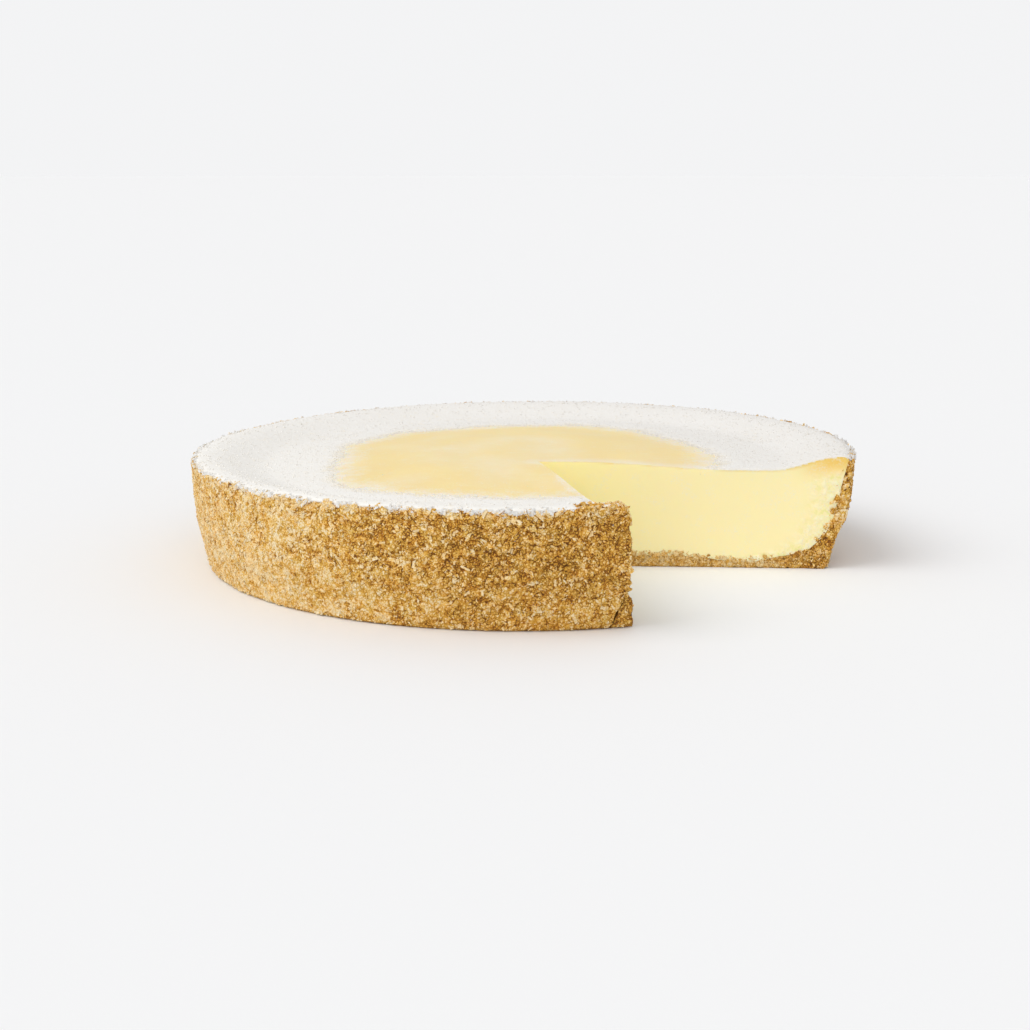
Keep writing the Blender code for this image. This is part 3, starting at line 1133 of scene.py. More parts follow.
@dataclass(frozen=True)
class Crack:
    """The crack beside the chunk that is breaking away at the foot of the near cut.

    Attributes:
        middle: Middle of the blade that opens it.
        width: How wide it gapes.
        depth: Length of the blade into the cake.
        height: Length of the blade upwards.
        tilt: How far it leans, in degrees.
        waver: How far it wavers.
        chunk_out: How far the chunk has moved out.
        chunk_top: Height of the chunk.
        chunk_rim: Radii between which the chunk begins.
        notch: How deep the hollow over the chunk is.
    """

    middle: Vector = field(default_factory=lambda: Vector((31.0, -118.9, 5.2)) * MM)
    width: float = 1.0 * MM
    depth: float = 10 * MM
    height: float = 15 * MM
    tilt: float = 19.0
    waver: float = 0.9 * MM
    chunk_out: float = 1.3 * MM
    chunk_top: float = 11 * MM
    chunk_rim: tuple[float, float] = (106 * MM, 113 * MM)
    notch: float = 0.9 * MM

    def axes(self) -> tuple[Vector, Vector, Vector]:
        """Return the blade's directions across, into and up the crack."""
        inwards = -direction(math.radians(Cut.NEAR.value))
        level = inwards.cross(Vector((0.0, 0.0, 1.0)))
        lean = math.radians(self.tilt)
        up = Vector((0.0, 0.0, math.cos(lean))) + level * math.sin(lean)
        return inwards.cross(up), inwards, up

    def blade(self) -> bpy.types.Object:
        """Model the wavering blade."""
        shape = bmesh.new()
        bmesh.ops.create_cube(shape, size=1.0)
        bmesh.ops.subdivide_edges(shape, edges=shape.edges[:], cuts=9, use_grid_fill=True)
        across, inwards, up = self.axes()
        for vertex in shape.verts:
            x, y, z = vertex.co
            waver = self.waver * noise.noise(Vector((y * 3.0, z * 5.5, 0.0)))
            gape = self.width * (0.55 + 0.9 * abs(noise.noise(Vector((0.4, y, z * 4.0)))))
            side = x * gape * (1.0 - 0.75 * smooth_step(-0.1, 0.5, z)) + waver
            vertex.co = self.middle + across * side + inwards * y * self.depth + up * z * self.height
        return as_object("crack_blade", shape)

    def clear_of(self, crumbs: np.ndarray, room: float) -> np.ndarray:
        """Tell which crumbs leave the crack open.

        Args:
            crumbs: For each crumb, rows of the x, y and z of its corners.
            room: Free distance on each side of the crack.

        Returns:
            A truth value for each crumb.
        """
        across, inwards, up = (np.array(axis) for axis in self.axes())
        away = crumbs - np.array(self.middle)
        side = away @ across
        beside = (side.min(1) > room) | (side.max(1) < -room)
        past = np.abs((away @ inwards).mean(1)) > 0.5 * self.depth
        return beside | past | (np.abs((away @ up).mean(1)) > 0.47 * self.height)

    def push(self, point: Vector, cut: Cut) -> float:
        """Return how far the chunk stands out of the near cut at a point.

        Args:
            point: A point of the cut face.
            cut: Which cut it is.

        Returns:
            The distance, below 0 in the notch.
        """
        if cut is Cut.FAR:
            return 0.0
        over = point.z - self.chunk_top
        notch = smooth_step(0.0, 1.5 * MM, over) * (1.0 - smooth_step(1.5 * MM, 5 * MM, over))
        chunk = 1.0 - smooth_step(-1.2 * MM, 0.3 * MM, over)
        rim = smooth_step(*self.chunk_rim, radius_of(point))
        return rim * (self.chunk_out * chunk - self.notch * notch)


@dataclass
class CrumbCrust:
    """The pressed crumb shell, with its relief.

    Attributes:
        columns: Steps round the wall.
        rows: Steps up the wall.
        inset: How far the shell stands behind the wall's outline, as its loose crumbs fill the rest.
        overlap: How far its inner face stands back from the filling's.
        sole: Height below which a point belongs to the underside.
        sole_rings: Radii of the underside's rings.
        coarse: Spacing of the larger grains.
        fine: Spacing of the smaller grains.
        relief: Height of the larger grains.
        crag: Height of the wider crags.
        crag_spacing: Their spacing.
        cut_step: Spacing of the grid on the cut faces.
        worn: How much of the relief a cut face keeps.
        knocked: How far its crumb stands back.
        painted_left_light: How far painted light makes the left front paler, and its azimuths from pale to
            brown.
        damp_depth: How far from a cut the crumb is still damp.
    """

    form: CakeForm
    wedge: Wedge
    material: bpy.types.Material
    crack: Crack = field(default_factory=Crack)
    columns: int = 1000
    rows: int = 50
    inset: float = 0.1 * MM
    overlap: float = 0.3 * MM
    sole: float = 0.05 * MM
    sole_rings: tuple[float, float, float] = (0.0, 60 * MM, 112 * MM)
    coarse: float = 2.5 * MM
    fine: float = 1.3 * MM
    relief: float = 0.75 * MM
    crag: float = 0.55 * MM
    crag_spacing: float = 9 * MM
    cut_step: float = 0.75 * MM
    worn: float = 0.8
    knocked: float = 0.2 * MM
    painted_left_light: tuple[float, float, float] = (0.34, -50.0, -8.0)
    damp_depth: float = 1.6 * MM

    def surface(self, point: Vector) -> tuple[float, float]:
        """Read the crumb's relief at a point.

        Args:
            point: Where to read.

        Returns:
            The height of the relief in metres, about -relief to relief, and its tone from 0 to 1, darker in
            the relief's hollows as painted shade.
        """
        seam, own = grain(point, self.coarse)
        small_seam, small_own = grain(point + Vector((0.1, 0.2, 0.3)), self.fine)
        height = 0.62 * (0.55 * own + 0.45 * math.sqrt(seam))
        height += 0.38 * (0.5 * small_own + 0.5 * math.sqrt(small_seam))
        crag = self.crag * noise.noise(point / self.crag_spacing)
        # The tone follows the relief's height, so its hollows get painted shade, and each small grain adds
        # its own tone.
        tone = 0.8 * height - 0.17 + 0.24 * (small_own - 0.5) + 0.1 * min(seam, small_seam)
        return self.relief * 2.0 * (height - 0.5) + crag, tone + self.baked(point)

    def baked(self, point: Vector) -> float:
        """Return what to add to the crumb's tone at a point, with painted light that makes its left front
        paler.

        Args:
            point: The point.

        Returns:
            What to add to the crumb's tone.
        """
        turn = math.degrees(azimuth_of(point))
        # Painted light: the left front paler and the right front darker, fading to a fixed tone behind.
        most, pale, brown = self.painted_left_light
        paler = 0.06 + most * (1.0 - smooth_step(pale, brown, turn)) - 0.07 * smooth_step(brown, 14.0, turn)
        behind = smooth_step(100.0, 150.0, abs(turn))
        uneven = 0.1 * noise.noise(point / (26 * MM)) + 0.1 * noise.noise(point / (9 * MM))
        lower = 0.14 * (1.0 - smooth_step(10 * MM, 28 * MM, point.z))
        lower += 0.12 * smooth_step(38 * MM, 41.5 * MM, point.z)
        fresh = smooth_step(1.2 * MM, 0.2 * MM, abs(float(self.wedge.depths(np.array([point]))[0])))
        moist = smooth_step(98 * MM, 108 * MM, radius_of(point))
        moist *= 1.0 - smooth_step(14 * MM, 20 * MM, point.z)
        return paler * (1.0 - behind) + 0.08 * behind + uneven + lower + fresh * (0.2 - 0.28 * moist)

    def profile(self) -> list[tuple[float, float]]:
        """Trace the shell's section: underside, wall, brim, inner wall and top of the base."""
        form = self.form
        shoulder = form.brim_edge[0][1] * MM
        wall = [shoulder * i / self.rows for i in range(self.rows)]
        line = [(radius, 0.0) for radius in self.sole_rings]
        line += [(float(form.wall_radius(z)) - self.inset, z) for z in wall]
        line += [(radius * MM - 0.3 * self.inset, height * MM) for radius, height in form.brim_edge]
        return line + form.inner_line()

    def build(self) -> bpy.types.Object:
        """Model the shell, take the wedge out of it and open the crack."""
        shape = turned(self.profile(), self.columns)
        inner = {section_key(radius, height) for radius, height in self.form.inner_line()}
        for vertex in shape.verts:
            point = vertex.co.copy()
            radius, azimuth = radius_of(point), azimuth_of(point)
            if point.z >= self.sole and section_key(radius, point.z) in inner:
                vertex.co = self.form.inner_point(radius, point.z, azimuth, self.overlap)
            elif point.z >= self.sole:
                vertex.co = self.roughened(point)
            elif radius > self.sole_rings[-1] + 3 * MM:
                vertex.co += direction(azimuth) * float(self.form.foot_shift(0.0, azimuth))
        shell = as_object("crust_shell", shape)
        cut_away(shell, self.wedge.cutter(self.cut_step, self.cut_relief, 0.0))
        cut_away(shell, self.crack.blade())
        places = corners(shell.data)
        paint(shell, "tone", (self.surface(Vector(place))[1] for place in places))
        paint(shell, "dust", self.dusting(places))
        paint(shell, "damp", self.damping(places))
        return finished(shell, Part.CRUST, self.material, True)

    def roughened(self, point: Vector) -> Vector:
        """Return where a point of the even wall or brim lies on the rough crumb.

        Args:
            point: The point.

        Returns:
            Its new place.
        """
        form = self.form
        height, _ = self.surface(point)
        outwards = point.xy.to_3d().normalized()
        point = point + outwards * float(form.foot_shift(point.z, azimuth_of(point)))
        shoulder = smooth_step(39 * MM, form.brim_height, point.z)
        foot = 0.3 + 0.7 * smooth_step(0.0, 3 * MM, point.z)
        upper = 0.7 + 0.3 * smooth_step(10 * MM, 26 * MM, point.z)
        point += outwards * height * (foot * upper) * (1.0 - 0.5 * shoulder)
        point.z += height * shoulder * 0.8
        point.z += form.lean(point.x) * point.z / form.brim_height
        return point

    def cut_relief(self, point: Vector, cut: Cut) -> float:
        """Read the crumbled relief of a cut face, with the chunk that stands out at the near one."""
        return self.worn * self.surface(point)[0] - self.knocked + self.crack.push(point, cut)

    def dusting(self, places: np.ndarray) -> np.ndarray:
        """Measure how thickly sugar dusts points of the crust, 0 to 1.

        Args:
            places: Rows of x, y and z.

        Returns:
            A number for each.
        """
        level = places[:, 2] - self.form.lean(places[:, 0])
        line = self.form.sugar_foot(azimuths_of(places))
        waver = 0.9 * MM * cloud(places, 6 * MM) + 0.8 * MM * cloud(places, 2.1 * MM)
        behind = 0.3 * stepped(0.0, 60 * MM, places[:, 1])
        return (0.97 - behind) * stepped(-0.8 * MM, 0.5 * MM, level - line + waver)

    def damping(self, places: np.ndarray) -> np.ndarray:
        """Measure how far the filling has darkened points of the cut faces, 0 to 1."""
        inside = 1.0 - stepped(98 * MM, 121 * MM, radii_of(places))
        return np.where(np.abs(self.wedge.depths(places)) < self.damp_depth, 0.4 * inside, 0.0)


@dataclass(frozen=True)
class CrumbKind:
    """One kind of loose crumb.

    Attributes:
        name: Name of its piece.
        wall: How many lie on the wall.
        brim: How many lie on the brim.
        cut: How many are tried on each cut face.
        length: Shortest and longest, in millimetres.
        width: Least and greatest width, as a share of the length.
        thickness: Least and greatest thickness, as a share of the length.
        tilt: Spread of its tilt out of the wall, in radians.
        tone: Middle and spread of its tone.
    """

    name: str
    wall: int
    brim: int
    cut: int
    length: tuple[float, float]
    width: tuple[float, float]
    thickness: tuple[float, float]
    tilt: float
    tone: tuple[float, float]


@dataclass
class LooseCrumbs:
    """Angular crumbs that stand out of the crust, joined into one piece for each kind.

    Attributes:
        crust: The shell that they lie on.
        kinds: The kinds of crumb.
        patterns: How many different crumbs each kind is made from.
        skew: How irregular they are.
        stand_out: How far they may pass the wall's outline.
        room: Free distance on each side of the crack.
        behind_cut: How far wall and brim crumbs keep behind the cuts.
        lowest: Height of the lowest crumb's underside.
        highest: Height that no crumb passes, before the cake's lean.
        brim: Inner and outer radius of the brim, in millimetres.
        corner: Inner radius of the near cut's corner, in millimetres, and the azimuth where it begins.
    """

    crust: CrumbCrust
    kinds: tuple[CrumbKind, ...] = (
        CrumbKind(
            "biscuit_flakes", 8600, 900, 2200, (1.0, 2.9), (0.28, 0.5), (0.13, 0.26), 0.55, (0.74, 0.2)
        ),
        CrumbKind(
            "biscuit_crumbs", 9000, 1100, 3600, (0.8, 2.1), (0.6, 1.0), (0.45, 0.8), 0.7, (0.52, 0.18)
        ),
        CrumbKind("biscuit_grit", 9800, 1300, 4200, (0.4, 0.9), (0.7, 1.0), (0.6, 0.9), 0.9, (0.54, 0.19)),
    )
    patterns: int = 16
    skew: float = 0.26
    stand_out: float = 0.8 * MM
    room: float = 0.45 * MM
    behind_cut: float = 0.25 * MM
    lowest: float = 0.25 * MM
    highest: float = 43.3 * MM
    brim: tuple[float, float] = (127.0, 129.7)
    corner: tuple[float, float] = (119.5, 7.5)

    def wall_sites(self, count: int, draw: np.random.Generator) -> Sites:
        """Choose places on the wall.

        Args:
            count: How many.
            draw: The source of chance.

        Returns:
            Rows of places, and of directions out of the wall.
        """
        form = self.crust.form
        azimuth = draw.uniform(-math.pi, math.pi, count)
        height = form.brim_height * draw.uniform(0.012, 0.99, count)
        outwards = directions(azimuth)
        places = outwards * (form.wall_limit(height, azimuth) - self.crust.inset)[:, None]
        places[:, 2] = height
        rough = np.array([self.crust.surface(Vector(place))[0] for place in places])
        places += outwards * (0.75 * rough)[:, None]
        return places, outwards

    def brim_sites(self, count: int, draw: np.random.Generator) -> Sites:
        """Choose places on the brim, more of them at the near cut's corner, which sugar missed.

        Args:
            count: How many.
            draw: The source of chance.

        Returns:
            Rows of places, and of directions outwards.
        """
        form = self.crust.form
        corner = count // 5
        azimuth = draw.uniform(-math.pi, math.pi, count)
        azimuth[:corner] = np.radians(draw.uniform(self.corner[1], Cut.NEAR.value, corner))
        radius = draw.uniform(*self.brim, count) * MM
        radius[:corner] = draw.uniform(self.corner[0], self.brim[1], corner) * MM
        outwards = directions(azimuth)
        places = outwards * radius[:, None]
        places[:, 2] = form.brim_top(radius) + draw.uniform(-0.5, 0.1, count) * MM
        inner = places[:corner]
        tops = np.array([form.top(Vector(place)) for place in inner]) - form.lean(inner[:, 0])
        inner[:, 2] = np.where(radius[:corner] < self.brim[0] * MM, tops, inner[:, 2]) - 0.7 * MM
        outwards[:, 2] = 1.1
        return places, outwards / np.linalg.norm(outwards, axis=1)[:, None]

    def cut_sites(self, count: int, cut: Cut, draw: np.random.Generator) -> Sites:
        """Choose places on the crumb of one cut face, as wall_sites does.

        Args:
            count: How many are tried.
            cut: Which cut.
            draw: The source of chance.

        Returns:
            Rows of places, and of directions into the gap.
        """
        form, wedge = self.crust.form, self.crust.wedge
        low = draw.random(count) < 0.45
        height = np.where(low, draw.uniform(0.4, 7.0, count), draw.uniform(0.4, 42.0, count)) * MM
        along, out = np.array(wedge.along(cut)), np.array(wedge.outward(cut))
        tips = np.array([wedge.tip_at(level) for level in height])
        places = tips + along * draw.uniform(0.0, wedge.reach, count)[:, None]
        places[:, 2] = height
        radius = radii_of(places)
        stray = np.minimum(draw.exponential(0.6, count), 1.5) * MM
        in_base = height < form.base_top(radius) - 0.2 * MM + stray
        in_wall = (radius > form.inner_radius(height) + 0.3 * MM - stray) & (height > 6 * MM)
        inside = radius < form.wall_limit(height, azimuths_of(places)) - 1.0 * MM
        places = places[(in_base | in_wall) & inside]
        push = np.array([self.crust.cut_relief(Vector(place), cut) for place in places])
        return places + out * (push - 0.1 * MM)[:, None], np.tile(out, (len(places), 1))

    def turns(self, outwards: np.ndarray, tilt: float, draw: np.random.Generator) -> np.ndarray:
        """Work out how each crumb is turned.

        Args:
            outwards: Rows of directions out of the surface.
            tilt: Spread of the tilt in radians.
            draw: The source of chance.

        Returns:
            One rotation matrix for each row, whose third column is about outwards.
        """
        count = len(outwards)
        side = np.stack([-outwards[:, 1], outwards[:, 0], np.zeros(count)], 1)
        side /= np.linalg.norm(side, axis=1)[:, None]
        base = np.stack([side, np.cross(outwards, side), outwards], 2)
        swing = draw.uniform(0.0, math.tau, count)
        roll = draw.normal(0.0, tilt, count)
        spin = draw.uniform(0.0, math.tau, count)
        return base @ turns_about("Z", swing) @ turns_about("X", roll) @ turns_about("Z", spin)

    def build(self, kind: CrumbKind, seed: int) -> bpy.types.Object:
        """Model all the crumbs of one kind as one mesh.

        Args:
            kind: The kind of crumb.
            seed: Seed of its chance.

        Returns:
            The finished piece.
        """
        form, wedge = self.crust.form, self.crust.wedge
        draw = np.random.default_rng(seed)
        cube, triangles = triangulated_cube()
        shapes = cube + draw.uniform(-self.skew, self.skew, (self.patterns, *cube.shape))
        sites = []
        for places, out in (self.wall_sites(kind.wall, draw), self.brim_sites(kind.brim, draw)):
            whole = wedge.depths(places) < -self.behind_cut
            sites.append((places[whole], out[whole]))
        sites += [self.cut_sites(kind.cut, cut, draw) for cut in Cut]
        places, outwards = (np.concatenate(rows) for rows in zip(*sites))
        places[:, 2] += form.lean(places[:, 0]) * places[:, 2] / form.brim_height
        count = len(places)
        least, most = kind.length[0] * MM, kind.length[1] * MM
        crag = 0.72 + 0.42 * stepped(8 * MM, 26 * MM, places[:, 2])
        length = (least + (most - least) * draw.random(count) ** 2.0) * crag
        width = length * draw.uniform(*kind.width, count)
        sizes = np.stack([length, width, length * draw.uniform(*kind.thickness, count)], 1)
        solid = shapes[draw.integers(0, self.patterns, count)] * sizes[:, None, :]
        turns = self.turns(outwards, kind.tilt, draw)
        solid = np.einsum("nij,nkj->nki", turns, solid) + places[:, None, :]
        clear = self.crust.crack.clear_of(solid, self.room)
        solid, places = solid[clear], places[clear]
        self.hold_in(solid, places, draw)
        return self.joined(kind, solid, triangles, draw)

    def hold_in(self, solid: np.ndarray, places: np.ndarray, draw: np.random.Generator) -> None:
        """Move crumbs that pass the wall's outline, the brim or the floor back inside.

        Args:
            solid: The vertices of each crumb, changed in place.
            places: Where each crumb lies.
            draw: The source of chance.
        """
        form = self.crust.form
        limit = form.wall_limit(places[:, 2], azimuths_of(places))
        limit += self.stand_out * draw.uniform(0.3, 1.0, len(places))
        past = np.maximum(0.0, np.hypot(solid[:, :, 0], solid[:, :, 1]).max(1) - limit)
        axis = places[:, :2] / radii_of(places)[:, None]
        solid[:, :, :2] -= (past[:, None] * axis)[:, None, :]
        ceiling = self.highest + form.lean(places[:, 0])
        solid[:, :, 2] -= np.maximum(0.0, solid[:, :, 2].max(1) - ceiling)[:, None]
        solid[:, :, 2] += np.maximum(0.0, self.lowest - solid[:, :, 2].min(1))[:, None]

    def joined(
        self, kind: CrumbKind, solid: np.ndarray, triangles: np.ndarray, draw: np.random.Generator
    ) -> bpy.types.Object:
        """Join crumbs into one piece and dress it.

        Args:
            kind: The kind of crumb.
            solid: The vertices of each crumb.
            triangles: The triangles that each crumb has.
            draw: The source of chance.

        Returns:
            The finished piece.
        """
        count, each = solid.shape[:2]
        crumbs, points, faces = scattered(kind.name, solid, triangles)
        middles = solid.mean(1)
        baked = np.array([self.crust.baked(Vector(middle)) for middle in middles])
        tone = np.clip(draw.normal(*kind.tone, count) + baked, 0.02, 1.0)
        paint(crumbs, "tone", np.repeat(tone, each))
        edges = points[faces]
        normals = np.cross(edges[:, 1] - edges[:, 0], edges[:, 2] - edges[:, 0])
        facing_up = normals[:, 2] / np.maximum(np.linalg.norm(normals, axis=1), 1e-12)
        dust = np.repeat(self.crust.dusting(middles), len(triangles))
        paint(crumbs, "dust", dust * (0.6 + 0.4 * stepped(-0.3, 0.5, facing_up)), "FACE")
        paint(crumbs, "damp", np.repeat(self.crust.damping(middles), each))
        return finished(crumbs, Part.CRUST, self.crust.material, False)


@dataclass
class SugarDrift:
    """The ring of sifted sugar, which dips under the filling's skin where there is none.

    Attributes:
        inner_edge: Azimuth in degrees, and the radius in millimetres where sugar gives way to bare skin.
        softness: How far the sugar thins out on each side of its edge.
        depth: Thickness of the sugar.
        start: Inner radius of the mesh.
        finish: Outer radius of the mesh.
        columns: Steps round the ring.
        ring_step: Spacing of its rings.
        under_rings: Radii of the rings on its underside.
        under_depth: How far the underside lies under the filling's top.
        under_height: Height that the filling's top counts for at most there.
        cut_step: Spacing of the grid on the cut faces.
        setback: How far the sugar stands behind the cuts.
        brim_start: Radius where the sugar begins to lie on the brim.
        brim_full: Radius from which it lies on the brim alone.
        missed: Azimuths in degrees where the bare corner at the near cut begins and ends.
        bare_strip: Width of the strip beside the near cut where the knife knocked the sugar off.
        clumps: How many loose clumps of powder there are.
        clump_sizes: Smallest, largest on the top and largest on the brim, in millimetres.
        seed: Seed of their chance.
    """

    form: CakeForm
    wedge: Wedge
    material: bpy.types.Material
    inner_edge: Table = (
        (-180, 89.0), (-160, 86.0), (-145, 88.0), (-120, 83.0), (-100, 75.5), (-86, 74.0), (-70, 78.5),
        (-50, 87.0), (-25, 85.5), (0, 84.5), (16, 84.0), (50, 80.0), (90, 77.5), (110, 73.5), (125, 76.0),
        (145, 85.0), (165, 91.0), (180, 89.0),
    )
    softness: float = 7 * MM
    depth: float = 0.55 * MM
    start: float = 60 * MM
    finish: float = 128.9 * MM
    columns: int = 880
    ring_step: float = 0.9 * MM
    under_rings: tuple[float, ...] = (60 * MM, 80 * MM, 104 * MM, 118 * MM, 126.0 * MM)
    under_depth: float = 2.6 * MM
    under_height: float = 41.5 * MM
    cut_step: float = 1.3 * MM
    setback: float = 0.45 * MM
    brim_start: float = 126.5 * MM
    brim_full: float = 128.0 * MM
    missed: tuple[float, float, float, float] = (7.0, 9.5, 17.0, 19.0)
    bare_strip: float = 2.2 * MM
    clumps: int = 9000
    clump_sizes: tuple[float, float, float] = (0.16, 0.5, 0.7)
    seed: int = 41

    def edge(self, azimuth: float) -> float:
        """Return the radius of the sugar's inner edge at an azimuth.

        Args:
            azimuth: The azimuth in radians.

        Returns:
            The radius.
        """
        angle = math.degrees(azimuth)
        for (start, first), (end, last) in zip(self.inner_edge, self.inner_edge[1:]):
            if start <= angle <= end:
                return (first + (last - first) * smooth_step(start, end, angle)) * MM
        return self.inner_edge[-1][1] * MM

    def beside_cut(self, point: Vector, cut: Cut) -> float:
        """Return how far a point in plan lies from a cut, at the height of the crown."""
        return self.wedge.from_cut(Vector((point.x, point.y, self.form.crown_height)), cut)

    def cover(self, point: Vector) -> float:
        """Return how fully sugar covers a point in plan, below 0 where it is bare.

        Args:
            point: The point.

        Returns:
            1 for a full cover, down to -0.8 and less for none.
        """
        plan, radius, azimuth = flat(point), radius_of(point), azimuth_of(point)
        wobble = 3.2 * noise.noise(plan / (12 * MM)) + 2.0 * noise.noise(plan / (4 * MM))
        wobble += 1.5 * noise.noise(plan / (1.7 * MM))
        inside = radius + wobble * MM - self.edge(azimuth)
        cover = -0.8 + 1.8 * smooth_step(-self.softness, self.softness, inside)
        if radius > 117 * MM:
            angle = math.degrees(azimuth)
            missed = smooth_step(*self.missed[:2], angle) * (1.0 - smooth_step(*self.missed[2:], angle))
            bare = missed * smooth_step(117.5 * MM, 120.5 * MM, radius + 0.2 * MM * wobble)
            ragged = smooth_step(125.5 * MM, 128.6 * MM, radius)
            cover -= 2.2 * bare + ragged * (0.5 + 0.3 * wobble)
        if radius < 121 * MM:
            gap = self.beside_cut(point, Cut.NEAR) + 0.25 * MM * wobble
            strip = self.bare_strip * (1.0 - 0.5 * smooth_step(90 * MM, 121 * MM, radius))
            cover -= 1.3 * (1.0 - smooth_step(0.6 * strip, 1.4 * strip, gap))
        return cover

    def film(self, point: Vector) -> float:
        """Return how much sugar dusts the skin at a point, 0 to 1, which is 1 well inside the ring, with a
        painted highlight along the near cut.

        Args:
            point: The point.

        Returns:
            A number from 0 to 1.
        """
        plan, radius = flat(point), radius_of(point)
        wobble = (3.0 * noise.noise(plan / (12 * MM)) + 2.5 * noise.noise(plan / (4 * MM))) * MM
        # Painted highlight along the near cut's top edge.
        beside = 1.0 - smooth_step(1 * MM, 5 * MM, self.beside_cut(point, Cut.NEAR))
        beside *= 0.62 * smooth_step(38 * MM, 62 * MM, radius)
        return max(beside, smooth_step(-19 * MM, 6 * MM, radius + wobble - self.edge(azimuth_of(point))))

    def haze_and_highlight(self, point: Vector) -> float:
        """Return how much fine sugar clouds the bare skin, more in the middle, and the painted highlight
        beside the far cut.

        Args:
            point: The point.

        Returns:
            A number from 0 to about 0.4.
        """
        plan = flat(point)
        middle = 1.0 - smooth_step(15 * MM, 65 * MM, plan.length)
        right = smooth_step(-30 * MM, 60 * MM, point.x + 0.6 * point.y)
        cloudy = 0.04 + 0.14 * middle - 0.07 * right + 0.22 * noise.noise(plan / (21 * MM))
        # Painted highlight along the far cut's top edge.
        beside = 0.4 * (1.0 - smooth_step(2 * MM, 10 * MM, self.beside_cut(point, Cut.FAR)))
        return max(0.0, cloudy, beside)

    def bed(self, point: Vector, radius: float) -> float:
        """Return the height of what the sugar lies on.

        Args:
            point: The point.
            radius: Its distance from the axis.

        Returns:
            The filling's top or the brim.
        """
        if radius < self.brim_start:
            return self.form.top(point)
        share = smooth_step(self.brim_start, self.brim_full, radius)
        brim = float(self.form.brim_top(radius)) + self.form.lean(point.x)
        return self.form.top(point) * (1.0 - share) + brim * share

    def surface(self, point: Vector) -> float:
        """Return the height of the sugar over a point in plan.

        Args:
            point: The point.

        Returns:
            The height, under the bed where sugar is missing.
        """
        plan = flat(point)
        cover = max(-1.2, min(1.0, self.cover(point)))
        lumps = 0.24 * noise.noise(plan / (3.6 * MM)) + 0.16 * noise.noise(plan / (1.6 * MM))
        return self.bed(point, radius_of(point)) + self.depth * (cover + lumps * min(1.0, abs(cover)))

    def underside(self, point: Vector) -> float:
        """Return the height of the drift's buried underside over a point in plan."""
        return min(self.form.top(point), self.under_height) - self.under_depth

    def build(self) -> bpy.types.Object:
        """Model the drift and trim it just short of the cuts."""
        rings = round((self.finish - self.start) / self.ring_step)
        upper, lower = 1.0, 0.0
        profile = [(self.start + (self.finish - self.start) * i / rings, upper) for i in range(rings + 1)]
        profile += [(radius, lower) for radius in self.under_rings[::-1]]
        shape = turned(profile, self.columns)
        for vertex in shape.verts:
            point = vertex.co.copy()
            vertex.co.z = self.surface(point) if point.z > 0.5 else self.underside(point)
        drift = as_object("sugar_drift", shape)
        cut_away(drift, self.wedge.cutter(self.cut_step, self.worn_edge, self.setback))
        paint(drift, "bare", (1.0 - self.film(Vector(place)) for place in corners(drift.data)))
        return finished(drift, Part.SUGAR, self.material, True)

    def worn_edge(self, point: Vector, cut: Cut) -> float:
        """Return how the sugar's edge wavers along a cut."""
        return 0.35 * MM * noise.noise(flat(point) / (2.2 * MM))

    def scatter(self) -> bpy.types.Object:
        """Model the small clumps of powder that lie loose at the drift's edge and on the brim."""
        draw = np.random.default_rng(self.seed)
        cube, triangles = triangulated_cube()
        least, most, most_on_brim = self.clump_sizes
        clumps = []
        while len(clumps) < self.clumps:
            radius = draw.uniform(60 * MM, 128.6 * MM)
            place = direction(draw.uniform(-math.pi, math.pi)) * radius
            cover = self.cover(place)
            wanted = math.exp(-((cover - 0.05) / 0.3) ** 2) + (0.12 if cover > 0.4 else 0.0)
            place.z = self.surface(place)
            if draw.random() > wanted or self.wedge.depths(np.array([place]))[0] > -0.8 * MM:
                continue
            size = draw.uniform(least, most if radius < 118 * MM else most_on_brim) * MM
            place.z = max(place.z, self.bed(place, radius)) + 0.12 * size
            lump = cube * draw.uniform(0.6, 1.15, 3) * size + draw.uniform(-0.22, 0.22, cube.shape) * size
            turn = turns_about("Z", draw.uniform(0.0, math.tau, 1))[0]
            clumps.append(lump @ turn.T + np.array(place))
        powder, _, _ = scattered("sugar_clumps", np.array(clumps), triangles)
        return finished(powder, Part.SUGAR, self.material, False)


